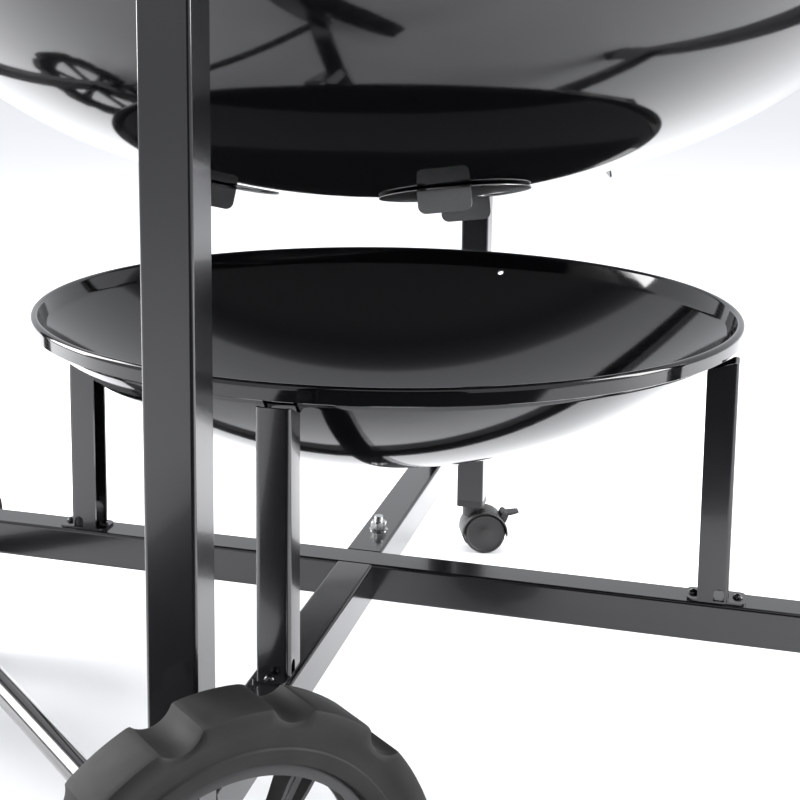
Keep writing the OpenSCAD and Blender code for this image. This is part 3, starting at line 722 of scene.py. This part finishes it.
def rivets():
    """Domed rivets that the dampers turn on."""
    dome = [(0, -4.6), (5.4, -4.6), (6, -4), (6, -3), (3, -2.6), (3, 2.8), (6, 2.8), (5.9, 3.6), (4.9, 4.4), (2.6, 4.8),
            (0, 4.8)]
    head = turned([(r * MM, z * MM) for r, z in dome], 40)
    bottom = together(*(moved(head, place) for place in VENTS.values()))
    stands_for(new_piece("damper_rivet_heads", *bottom, ZINC), "cart", "zinc_steel", "damper_rivets")
    lid_head = new_piece("lid_rivet_head", *moved(head, LID_VENT @ Matrix.Translation((0, 0, -0.5 * MM))), ZINC)
    stands_for(lid_head, "lid", "zinc_steel", "lid_damper_rivet")


# ---------- posts of the ash bowl ----------

POST_FOOT = 13 * MM


def post_face(side):
    """Middle of a post's outer face, which its foot plate runs past."""
    low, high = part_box("ash_post_" + side)
    middle = (low + high) / 2
    return {"front": (KETTLE.x, low.y + POST_FOOT), "rear": (KETTLE.x, high.y - POST_FOOT),
            "left": (low.x + POST_FOOT, middle.y), "right": (high.x - POST_FOOT, middle.y)}[side]


def ash_post(side):
    """Channel bent from sheet, with arched notches at its foot and its top cut to the bowl."""
    low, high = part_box("ash_post_" + side)
    bowl_low, bowl_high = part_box("ash_bowl")
    web, flange, sheet, bend = 26 * MM, 24 * MM, 2.5 * MM, 4 * MM
    foot, clear = low.z, 0.5 * MM
    edge_r = (bowl_high.x - bowl_low.x) / 2 - 8 * MM
    depth = bowl_high.z - 16 * MM - bowl_low.z
    rho = (edge_r ** 2 + depth ** 2) / (2 * depth)
    out = {"front": (0, -1), "rear": (0, 1), "left": (-1, 0), "right": (1, 0)}[side]
    face = post_face(side)
    place = axes_at((face[0], face[1], foot), (0, 0, 1), (-out[1], out[0], 0))
    outer = [(-flange, -web / 2)] + arc(bend, -90, 0, 6, (-bend, -web / 2 + bend))
    outer += arc(bend, 0, 90, 6, (-bend, web / 2 - bend)) + [(-flange, web / 2)]
    small = bend - sheet
    inner = [(-flange, web / 2 - sheet)] + arc(small, 90, 0, 4, (-bend, web / 2 - bend))
    inner += arc(small, 0, -90, 4, (-bend, -web / 2 + bend)) + [(-flange, -web / 2 + sheet)]
    section = outer + inner

    def under_bowl(x, y):
        spot = place @ Vector((x, y, 0)) - KETTLE
        r = min(math.hypot(spot.x, spot.y), edge_r + 4 * MM)
        return min(bowl_low.z + rho - math.sqrt(rho ** 2 - r ** 2) - clear, high.z) - foot
    levels = (0.0, 2 * MM, 20 * MM, 80 * MM)
    loops = [[Vector((x, y, z)) for x, y in section] for z in levels]
    loops.append([Vector((x, y, under_bowl(x, y))) for x, y in section])
    shaft = new_piece("ash_post_%s_channel" % side, *lofted(loops), POWDER, place, crease=35)
    half_notch, notch_top = 4.2 * MM, 12 * MM
    notch_x = -7.6 * MM
    arch = [(notch_x - half_notch, 2 * MM)]
    arch += [(notch_x - x, z) for x, z in arc(half_notch, 0, 180, 14, (0, notch_top - half_notch))]
    arch += [(notch_x + half_notch, 2 * MM)]
    cutter = lofted([[Vector((x, y, z)) for x, z in arch] for y in (-web, web)])
    shaft = drilled(shaft, [moved(cutter, place)], POWDER, crease=35)
    plate_out, plate_in, half, corner = POST_FOOT, -flange - 8 * MM, web / 2 - 0.4 * MM, 5 * MM
    outline = arc(corner, -90, 0, 6, (plate_out - corner, -half + corner))
    outline += arc(corner, 0, 90, 6, (plate_out - corner, half - corner))
    outline += arc(corner, 90, 180, 6, (plate_in + corner, half - corner))
    outline += arc(corner, 180, 270, 6, (plate_in + corner, -half + corner))
    sole = lofted([[Vector((x, y, z)) for x, y in outline] for z in (0.0, 0.3 * MM, 1.7 * MM, 2 * MM)])
    foot_plate = new_piece("ash_post_%s_foot" % side, *sole, POWDER, place)
    stands_for(shaft, "cart", "black_powder_coat", "ash_post_" + side)
    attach(foot_plate, "cart")


# ---------- nuts and bolts ----------

def hexagon(flats):
    """How far a hexagon of this width across flats reaches at an angle, limited by a chamfer."""
    def reach(angle, r):
        flat_turn = (angle + math.pi / 6) % (math.pi / 3) - math.pi / 6
        return min(r, flats / 2 / math.cos(flat_turn))
    return reach


def hex_nut(bore, flats, height, flange=1.0):
    """Nut with chamfered corners, with a washer flange where flange is over 1."""
    tip = flats / 2 / math.cos(math.pi / 6)
    chamfer = tip - flats / 2
    body = turned([(bore / 2, 0), (flats * 0.46, 0), (tip, chamfer * 0.5), (tip, height - chamfer * 0.7),
                   (flats / 2 * 0.97, height), (bore / 2 + 0.6 * MM, height), (bore / 2, height - 0.6 * MM)],
                  72, hexagon(flats))
    if flange <= 1:
        return body
    skirt = turned([(bore / 2, 0), (flats * flange / 2, 0), (flats * flange / 2, 0.7 * MM),
                    (flats * 0.5, 2 * MM), (bore / 2, 2 * MM)], 48)
    return together(body, skirt)


def threaded_end(radius, low_z, high_z, pitch):
    """Shank with rings for its thread and a chamfered end."""
    profile = [(0, low_z)]
    z = low_z
    while z < high_z - pitch:
        profile += [(radius, z), (radius - 0.35 * pitch, z + pitch / 2)]
        z += pitch
    return turned(profile + [(radius, z), (radius * 0.8, high_z), (0, high_z)], 32)


def fasteners():
    nut_low, nut_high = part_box("beam_nut")
    bolt_low, bolt_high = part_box("beam_bolt")
    x, y = KETTLE.x, KETTLE.y
    nut = moved(hex_nut(8 * MM, 13 * MM, nut_high.z - nut_low.z, 1.3), Matrix.Translation((x, y, nut_low.z)))
    stands_for(new_piece("beam_flange_nut", *nut, ZINC), "cart", "zinc_steel", "beam_nut")
    head_h = 4.8 * MM
    head = moved(hex_nut(0.02 * MM, 13 * MM, head_h), Matrix.Translation((x, y, bolt_low.z)))
    shank = moved(threaded_end(4 * MM, bolt_low.z + head_h, bolt_high.z, 1.25 * MM), Matrix.Translation((x, y, 0)))
    stands_for(new_piece("beam_bolt_thread", *together(head, shank), ZINC), "cart", "zinc_steel", "beam_bolt")
    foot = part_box("ash_post_front")[0].z
    spots = []
    for side, out in (("front", (0, -1)), ("rear", (0, 1)), ("left", (-1, 0)), ("right", (1, 0))):
        x, y = post_face(side)
        spots += [(x + out[0] * run, y + out[1] * run, foot) for run in (-27 * MM, 7 * MM)]
    screw = [(0, -12), (2.1, -12), (2.5, -11.5), (2.5, 2), (3.7, 2), (4, 2.3), (3.7, 3.2), (2.8, 4.2), (1.7, 4.6),
             (1.6, 3), (0, 2.7)]
    screws = on_spots("post_screws", turned([(r * MM, z * MM) for r, z in screw], 32), spots, POWDER)
    stands_for(screws, "cart", "black_powder_coat", "ash_post_bolts")


# ---------- casters ----------

def caster(side):
    """Twin-wheel furniture caster: hooded body, two plain wheels and a press-down brake lever."""
    roll = JOINTS[side + "_caster_roll"]
    swivel = Vector(JOINTS[side + "_caster_swivel"]["pos_m"])
    hub = Vector(roll["pos_m"])
    along = Vector(roll["axis"])
    place = axes_at(hub, (0, 0, 1), along)
    hood_r, half_width, wall = 28.2 * MM, 19 * MM, 2 * MM
    section = [(hood_r - wall, -half_width), (hood_r - 1.2 * MM, -half_width)]
    section += [(hood_r - 3 * MM + x, -half_width + 3 * MM + y) for x, y in arc(3 * MM, -60, 0, 5)]
    section += [(hood_r - 3 * MM + x, half_width - 3 * MM + y) for x, y in arc(3 * MM, 0, 60, 5)]
    section += [(hood_r - 1.2 * MM, half_width), (hood_r - wall, half_width)]
    loops = []
    for step in range(49):
        angle = math.radians(-6 + 192 * step / 48)
        loops.append([Vector((r * math.cos(angle), y, r * math.sin(angle))) for r, y in section])
    hood = lofted(loops)
    web_turn = [math.radians(-40 + 260 * step / 60) for step in range(61)]
    web_loop = [(0.96 * hood_r * math.cos(a), 0.96 * hood_r * math.sin(a)) for a in web_turn]
    web = lofted([[Vector((x, y, z)) for x, z in web_loop] for y in (-2.5 * MM, 2.5 * MM)])
    stem_x = (place.inverted() @ swivel).x
    top = 59 * MM - hub.z - 0.3 * MM
    neck = [(0, 20 * MM), (10.6 * MM, 20 * MM), (11 * MM, 21 * MM), (11 * MM, top - 1 * MM), (10.2 * MM, top),
            (5 * MM, top), (5 * MM, top + 33 * MM), (0, top + 34 * MM)]
    stem = moved(turned(neck, 48), Matrix.Translation((stem_x, 0, 0)))
    # shoulder that joins the neck to the hood
    shoulder = []
    for step in range(13):
        share = step / 12
        x = stem_x + 22 * MM * share
        rise = math.sqrt(max((hood_r - 1 * MM) ** 2 - x ** 2, 0))
        height = rise * share + (top - 2 * MM) * (1 - share)
        wide = 9 * MM - 5 * MM * share
        shoulder.append([Vector((x, -wide, 18 * MM)), Vector((x, wide, 18 * MM)), Vector((x, wide * 0.8, height)),
                         Vector((x, -wide * 0.8, height))])
    pivot = place.inverted() @ Vector(JOINTS[side + "_brake_press"]["pos_m"])
    ear = [(pivot.x - 7 * MM, pivot.z - 8 * MM), (pivot.x + 1 * MM, pivot.z - 8 * MM)]
    ear += arc(4 * MM, -30, 150, 10, (pivot.x, pivot.z))
    ears = [lofted([[Vector((x, y, z)) for x, z in ear] for y in pair])
            for pair in ((-12 * MM, -9.2 * MM), (9.2 * MM, 12 * MM))]
    body = new_piece(side + "_caster_housing", *together(hood, web, stem, lofted(shoulder), *ears), NYLON, place)
    stands_for(body, side + "_caster", "black_plastic", side + "_caster_body")
    disc = [(0, 4), (22.4, 4), (24.2, 4.6), (25, 6), (25, 14.6), (24.2, 16.2), (22.6, 17), (21.6, 16.8), (20.8, 16.2),
            (8, 16.2), (6.6, 16.8), (3.6, 17), (0, 17)]
    face = turned([(r * MM, y * MM) for r, y in disc], 96)
    along_axle = Matrix.Rotation(math.radians(-90), 4, "X")
    pair = [moved(face, along_axle), moved(face, Matrix.Rotation(math.pi, 4, "Z") @ along_axle)]
    axle = moved(turned([(0, -5 * MM), (3 * MM, -5 * MM), (3 * MM, 5 * MM), (0, 5 * MM)], 24), along_axle)
    wheels = new_piece(side + "_caster_twin_wheels", *together(*pair, axle), CASTER_RUBBER, place, crease=25)
    stands_for(wheels, side + "_caster_roller", "black_tyre", side + "_caster_wheels")
    # the lever is a ribbed wedge that ends in a thin lip
    lever_at = Matrix.Translation(pivot)
    wedge = []
    for step in range(15):
        x = 1 * MM + 16.8 * MM * step / 14
        rib = 0.5 * MM if 3 < step < 13 and step % 2 else 0.0
        thick = 3.8 * MM - 2.2 * MM * step / 14
        lift = 1.1 * MM + 2.6 * MM * (step / 14) ** 2
        wide = 8 * MM * (1 - 0.16 * (step / 14) ** 3)
        wedge.append([Vector((x, -wide, lift - 0.5 * thick)), Vector((x, wide, lift - 0.5 * thick)),
                      Vector((x, wide, lift + 0.5 * thick + rib)), Vector((x, -wide, lift + 0.5 * thick + rib))])
    barrel = moved(turned([(0, -8 * MM), (3.4 * MM, -8 * MM), (4 * MM, -7.4 * MM), (4 * MM, 7.4 * MM),
                           (3.4 * MM, 8 * MM), (0, 8 * MM)], 32), along_axle)
    pin = moved(turned([(0, -12 * MM), (2 * MM, -12 * MM), (2 * MM, 12 * MM), (0, 12 * MM)], 20), along_axle)
    lever = new_piece(side + "_caster_brake", *moved(together(lofted(wedge), barrel, pin), lever_at), NYLON, place)
    stands_for(lever, side + "_brake", "black_plastic", side + "_brake_lever")


# ---------- road wheels ----------

def road_wheel(side):
    """Solid lugged tyre on a six-spoke moulded hub."""
    low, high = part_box(side + "_tyre")
    spin = JOINTS[side + "_wheel_spin"]
    place = axes_at((low + high) / 2, spin["axis"], (0, 0, 1))
    outer, half = (high.z - low.z) / 2, 20 * MM
    lugs, scoop_r, scoop_at = 12, 17 * MM, outer + 9 * MM
    inner = outer - 34 * MM

    def lugged(angle, r):
        if r < outer - 10 * MM:
            return r
        turn = (angle % (math.tau / lugs)) - math.pi / lugs
        aside = scoop_at * math.sin(turn)
        if abs(aside) >= scoop_r:
            return r
        floor = scoop_at * math.cos(turn) - math.sqrt(scoop_r ** 2 - aside ** 2)
        return min(r, floor - (outer - r))
    profile = [(inner, -half + 4 * MM), (inner + 1 * MM, -half + 1.5 * MM), (inner + 6 * MM, -half),
               (inner + 10 * MM, -half), (inner + 11 * MM, -half + 1 * MM), (outer - 14 * MM, -half + 1 * MM),
               (outer - 12 * MM, -half), (outer - 3.5 * MM, -half), (outer - 1 * MM, -half + 1.2 * MM),
               (outer, -half + 4 * MM)]
    profile += [(r, -z) for r, z in profile[::-1]]
    tyre = new_piece(side + "_tyre_rubber", *turned(profile, 384, lugged), RUBBER, place, crease=38)
    stands_for(tyre, side + "_wheel", "black_tyre", side + "_tyre")
    # section of the hub's outer band, as depth inside the tyre and place across it
    band = ((7, -15), (2, -15), (0, -14), (0, 14), (2, 15), (7, 15), (7, 12), (4.5, 10), (4.5, -10), (7, -12))
    rim = turned([(inner - depth * MM, z * MM) for depth, z in band], 192)
    bore = 6.06 * MM
    core = turned([(bore, -20 * MM), (17 * MM, -20 * MM), (19.5 * MM, -18.5 * MM), (20 * MM, -15 * MM),
                   (20 * MM, 15 * MM), (19.5 * MM, 18.5 * MM), (17 * MM, 20 * MM), (bore, 20 * MM)], 96)
    stations = []
    for step in range(9):
        share = step / 8
        r = 15 * MM + (inner - 6 * MM - 15 * MM) * share
        wide = (9 - 3.2 * math.sin(math.pi * min(1, share * 1.1))) * MM
        deep = (8 - 2 * math.sin(math.pi * share)) * MM
        rib = 2.2 * MM
        stations.append([Vector((r, y, z)) for y, z in (
            (-wide, -deep), (-wide + rib, -deep), (-rib, -deep * 0.55), (rib, -deep * 0.55), (wide - rib, -deep),
            (wide, -deep), (wide, deep), (wide - rib, deep), (rib, deep * 0.55), (-rib, deep * 0.55),
            (-wide + rib, deep), (-wide, deep))])
    spokes = round_axis(side + "_spokes", lofted(stations), 6, NYLON)
    hub = new_piece(side + "_wheel_moulding", *together(rim, core, spokes), NYLON, place)
    stands_for(hub, side + "_wheel", "black_plastic", side + "_wheel_hub")


# ---------- grates ----------

def grates():
    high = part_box("cooking_grate")[1]
    flap_y, grate_r, wire = 262 * MM, 430 * MM, 2.5 * MM
    grate_z = high.z - 3.5 * MM
    pitch = 20.5 * MM
    at_grate = Matrix.Translation((KETTLE.x, KETTLE.y, grate_z))

    def plain(piece):
        found = ([tuple(v.co) for v in piece.data.vertices], [tuple(p.vertices) for p in piece.data.polygons])
        bpy.data.objects.remove(piece)
        return found
    bars = plain(grown("cooking_bars", BAR_TREE, GRATE_WIRE, Grate_radius=grate_r, Pitch=pitch, Bars=41,
                       Wire_radius=wire, Longest_half=flap_y, Inner_edge=0.0, One_side=False))
    edge = math.degrees(math.asin(flap_y / grate_r))
    rims = [rod([(x, y, 0) for x, y in arc(grate_r, start, start + 2 * edge, 60)], 3.5 * MM)
            for start in (-edge, 180 - edge)]
    reach = math.sqrt(grate_r ** 2 - flap_y ** 2)
    rails = [rod([(-reach, y, 0), (0, y, 0), (reach, y, 0)], 3 * MM) for y in (-flap_y, flap_y)]
    cross = [rod([(-c, y, -4.7 * MM), (0, y, -4.7 * MM), (c, y, -4.7 * MM)], 3 * MM)
             for y, c in ((yy, math.sqrt(grate_r ** 2 - yy ** 2) - 4 * MM) for yy in (-160 * MM, 0.0, 160 * MM))]
    whole = new_piece("cooking_grate_wire", *together(bars, *rims, *rails, *cross), GRATE_WIRE, at_grate)
    stands_for(whole, "cart", "plated_wire", "cooking_grate")
    flap_start = flap_y + 9 * MM
    flap_bars = plain(grown("flap_bars", BAR_TREE, GRATE_WIRE, Grate_radius=grate_r, Pitch=pitch, Bars=31,
                            Wire_radius=wire, Longest_half=1.0, Inner_edge=flap_start, One_side=True))
    flap_edge = math.degrees(math.asin(flap_start / grate_r))
    flap_rim = rod([(x, y, 0) for x, y in arc(grate_r, flap_edge, 180 - flap_edge, 80)], 3.5 * MM)
    half = math.sqrt(grate_r ** 2 - flap_start ** 2)
    flap_rail = rod([(-half, flap_start, 0), (0, flap_start, 0), (half, flap_start, 0)], 2.5 * MM)
    tie_y = 350 * MM
    tie_half = math.sqrt(grate_r ** 2 - tie_y ** 2) - 4 * MM
    tie = rod([(-tie_half, tie_y, -4.7 * MM), (0, tie_y, -4.7 * MM), (tie_half, tie_y, -4.7 * MM)], 2.5 * MM)
    # eyes round the rail, with a short leg to the flap
    eyes = []
    for x in (-235.75 * MM, 235.75 * MM):
        path = [(x + turn * 1.2 * MM, flap_y + 4.5 * MM * math.cos(turn), 4.5 * MM * math.sin(turn))
                for turn in (math.tau * i / 20 for i in range(-9, 10))]
        eyes.append(rod(path, 1.3 * MM))
        eyes.append(rod([(x, flap_y + 4.4 * MM, 0), (x, flap_y + 9 * MM, 0)], 1.5 * MM))
    flap = together(flap_bars, flap_rim, flap_rail, tie, *eyes)
    for side, turned_round in (("rear", Matrix()), ("front", Matrix.Rotation(math.pi, 4, "Z"))):
        piece = new_piece("flap_%s_wire" % side, *flap, GRATE_WIRE, at_grate @ turned_round)
        stands_for(piece, side + "_flap", "plated_wire", "grate_flap_" + side)
    coal_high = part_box("charcoal_grate")[1]
    coal_z, coal_r = coal_high.z - 3 * MM, 345 * MM
    coal_bars = plain(grown("charcoal_bars", BAR_TREE, COAL_WIRE, Grate_radius=coal_r, Pitch=32 * MM, Bars=21,
                            Wire_radius=3 * MM, Longest_half=1.0, Inner_edge=0.0, One_side=False))
    ring = rod([(coal_r * math.cos(a), coal_r * math.sin(a), 0) for a in (math.tau * i / 120 for i in range(120))],
               3 * MM, closed=True)
    tie_x = 170 * MM
    coal_half = math.sqrt(coal_r ** 2 - tie_x ** 2) - 4 * MM
    ties = [rod([(-coal_half, y, -4.7 * MM), (0, y, -4.7 * MM), (coal_half, y, -4.7 * MM)], 3 * MM)
            for y in (-tie_x, tie_x)]
    across = Matrix.Translation((KETTLE.x, KETTLE.y, coal_z)) @ Matrix.Rotation(math.pi / 2, 4, "Z")
    coals = new_piece("charcoal_grate_wire", *together(coal_bars, ring, *ties), COAL_WIRE, across)
    stands_for(coals, "cart", "charcoal_steel", "charcoal_grate")


# ---------- handle and thermometer ----------

def lid_handle():
    """Grip with rounded ends and shallow finger rings."""
    low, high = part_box("lid_handle_grip")
    centre, radius, half = (low + high) / 2, (high.z - low.z) / 2, (high.x - low.x) / 2
    straight = half - radius
    profile = [(radius * math.sin(a), -straight - radius * math.cos(a)) for a in
               (math.pi / 2 * i / 12 for i in range(13))]
    ring_n = 9
    for step in range(1, 145):
        z = -straight + 2 * straight * step / 145
        swell = 0.0
        if abs(z) < 0.55 * straight:
            swell = -0.6 * MM * max(0, math.cos(ring_n * math.pi * z / (0.55 * straight))) ** 6
        profile.append((radius + swell, z))
    profile += [(r, -z) for r, z in profile[:13][::-1]]
    profile[0], profile[-1] = (0, profile[0][1]), (0, profile[-1][1])
    place = Matrix.Translation(centre) @ Matrix.Rotation(math.pi / 2, 4, "Y")
    stands_for(new_piece("handle_grip", *turned(profile, 72), GRIP, place, crease=60), "lid", "black_grip",
               "lid_handle_grip")


def thermometer():
    """Round dial with ticks and graduated marks, in a polished case."""
    case = [(0, 4), (28, 4), (32, 5), (33, 7), (33, 17), (32.4, 19.2), (31, 20), (30.4, 19.4), (30, 17.4), (30, 7.2),
            (2.4, 7), (2.4, 6.4), (0, 6.4)]
    cup = turned([(r * MM, z * MM) for r, z in case], 128)
    stem = turned([(0, -60 * MM), (2.4 * MM, -59 * MM), (3 * MM, -57 * MM), (3 * MM, 4.6 * MM), (0, 4.6 * MM)], 32)
    sleeve = turned([(3 * MM, -6 * MM), (6 * MM, -6 * MM), (6 * MM, 4.4 * MM), (3 * MM, 4.4 * MM)], 40)
    nut = moved(hex_nut(12 * MM, 16.4 * MM, 4 * MM), Matrix.Translation((0, 0, -7 * MM)))
    stands_for(new_piece("gauge_case", *together(cup, stem, sleeve, nut), BEZEL, GAUGE), "lid", "bezel_steel",
               "thermometer_case")
    face = turned([(2 * MM, 7.2 * MM), (29.6 * MM, 7.2 * MM), (29.6 * MM, 8 * MM), (2 * MM, 8 * MM)], 96)
    stands_for(new_piece("gauge_dial", *face, DIAL, GAUGE), "lid", "dial_white", "thermometer_dial")

    def tick(inner_r, outer_r, half):
        corners = [(inner_r, -half), (outer_r, -half), (outer_r, half), (inner_r, half)]
        return lofted([[Vector((x, y, z)) for x, y in corners] for z in (8 * MM, 8.15 * MM)])
    sweep = math.radians(270)
    start = math.radians(-45)
    small = round_axis("small_ticks", tick(25.5 * MM, 28 * MM, 0.2 * MM), 51, MARKS, start, sweep / 50)
    large = round_axis("large_ticks", tick(22.5 * MM, 28 * MM, 0.45 * MM), 11, MARKS, start, sweep / 10)
    marks = new_piece("gauge_marks", *together(small, large), MARKS, GAUGE)
    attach(marks, "lid")


# ---------- finishes of the CAD pieces that stay ----------

KEPT = {
    POWDER: ("cross_beam", "front_beam", "rear_beam", "beam_stub", "leg_front", "leg_rear", "leg_left", "leg_right",
             "axle_sleeve", "kettle_brackets"),
    NYLON: ("leg_caps", "leg_plugs"),
    ZINC: ("axle", "axle_nuts", "bracket_bolts", "lid_handle_screws"),
    GRATE_WIRE: ("grate_ledges",),
    GRIP: ("lid_handle_posts",),
    NEEDLE: ("thermometer_needle",),
    GLASS: ("thermometer_glass",),
}
for finish, nodes in KEPT.items():
    for node in nodes:
        slots = frame["nodes"][node].data.materials
        for i in range(len(slots)):
            slots[i] = finish
        if not slots:
            slots.append(finish)

ash_bowl()
kettle_bowl()
lid_shell()
for side in VENTS:
    damper(side)
lid_damper()
rivets()
for side in ("front", "rear", "left", "right"):
    ash_post(side)
fasteners()
for side in ("rear", "right"):
    caster(side)
for side in ("front", "left"):
    road_wheel(side)
grates()
lid_handle()
thermometer()


# ---------- studio ----------

def studio_floor():
    """Large flat white floor under the grill, reaching far round it."""
    finish, tree, shader, place = new_finish("white studio paint")
    cloud = noise(tree, place, 900.0)
    tree.links.new(blend_colour(tree, cloud, "#f3f4f6", "#f8f8f9"), shader.inputs["Base Color"])
    tree.links.new(between(tree, cloud, 0.5, 0.6), shader.inputs["Roughness"])
    size = 30.0
    floor = piece_of("studio_floor", bpy.data.meshes.new("studio_floor"), finish)
    floor.data.from_pydata([(-size, -size, 0), (size, -size, 0), (size, size, 0), (-size, size, 0)], [],
                           [(0, 1, 2, 3)])


def black_flag():
    """Black card behind the camera, which keeps the faces turned towards it dark."""
    finish, tree, shader, place = new_finish("black flag cloth")
    weave = noise(tree, place, 4.0)
    tree.links.new(blend_colour(tree, weave, "#050505", "#0a0a0a"), shader.inputs["Base Color"])
    tree.links.new(between(tree, weave, 0.8, 0.9), shader.inputs["Roughness"])
    flag = piece_of("black_flag", bpy.data.meshes.new("black_flag"), finish)
    left, right, near, back, low, top = -0.35, 2.6, -0.8, -3.2, 0.002, 3.2
    flag.data.from_pydata([(left, near, low), (right, near, low), (left, back, low), (right, back, low),
                           (left, back, top), (right, back, top)], [], [(0, 2, 3, 1), (2, 4, 5, 3)])
    # only reflections meet the card, so it neither shows nor shades the floor
    flag.visible_camera = flag.visible_shadow = flag.visible_diffuse = False


def softbox(name, location, target, width, height, power):
    lamp = bpy.data.lights.new(name, "AREA")
    lamp.shape, lamp.size, lamp.size_y, lamp.energy = "RECTANGLE", width, height, power
    holder = bpy.data.objects.new(name, lamp)
    holder.location = location
    holder.rotation_euler = (Vector(target) - Vector(location)).to_track_quat("-Z", "Y").to_euler()
    bpy.context.scene.collection.objects.link(holder)


def studio_light():
    bpy.context.scene.view_settings.view_transform = "Standard"
    world = bpy.data.worlds.new("studio air")
    bpy.context.scene.world = world
    world.use_nodes = True
    background = world.node_tree.nodes["Background"]
    background.inputs["Color"].default_value = srgb("#f4f6fa")
    background.inputs["Strength"].default_value = 1.0
    softbox("left softbox", (-2.6, 0.3, 1.5), (0, 0, 0.4), 1.2, 2.2, 120)
    softbox("right softbox", (2.8, 0.6, 1.6), (0, 0, 0.4), 1.2, 2.2, 120)
    softbox("top softbox", (0.2, 0.2, 3.4), (0, 0, 0.4), 2.4, 2.4, 160)


def studio_camera():
    lens = bpy.data.cameras.new("camera")
    lens.sensor_width = 36.0
    lens.lens = 36.0 * CAMERA_FOCAL / 800
    lens.shift_x, lens.shift_y = CAMERA_SHIFT
    camera = bpy.data.objects.new("camera", lens)
    camera.rotation_mode = "XYZ"
    camera.location = KETTLE + Vector(CAMERA_PLACE)
    pitch, roll, yaw = CAMERA_TURN
    look = Matrix.Rotation(yaw, 4, "Z") @ Matrix.Rotation(math.pi / 2 - pitch, 4, "X") @ Matrix.Rotation(roll, 4, "Z")
    camera.rotation_euler = look.to_euler()
    bpy.context.scene.collection.objects.link(camera)
    bpy.context.scene.camera = camera


# focal length in picture widths of 800, place from the kettle's axis at floor level, turns in radians
CAMERA_FOCAL = 1448.0
CAMERA_SHIFT = (0.1675, -0.2)
CAMERA_PLACE = (0.2988, -1.2327, 0.6580)
CAMERA_TURN = (0.1537, -0.0029, 0.3183)

studio_floor()
black_flag()
studio_light()
studio_camera()
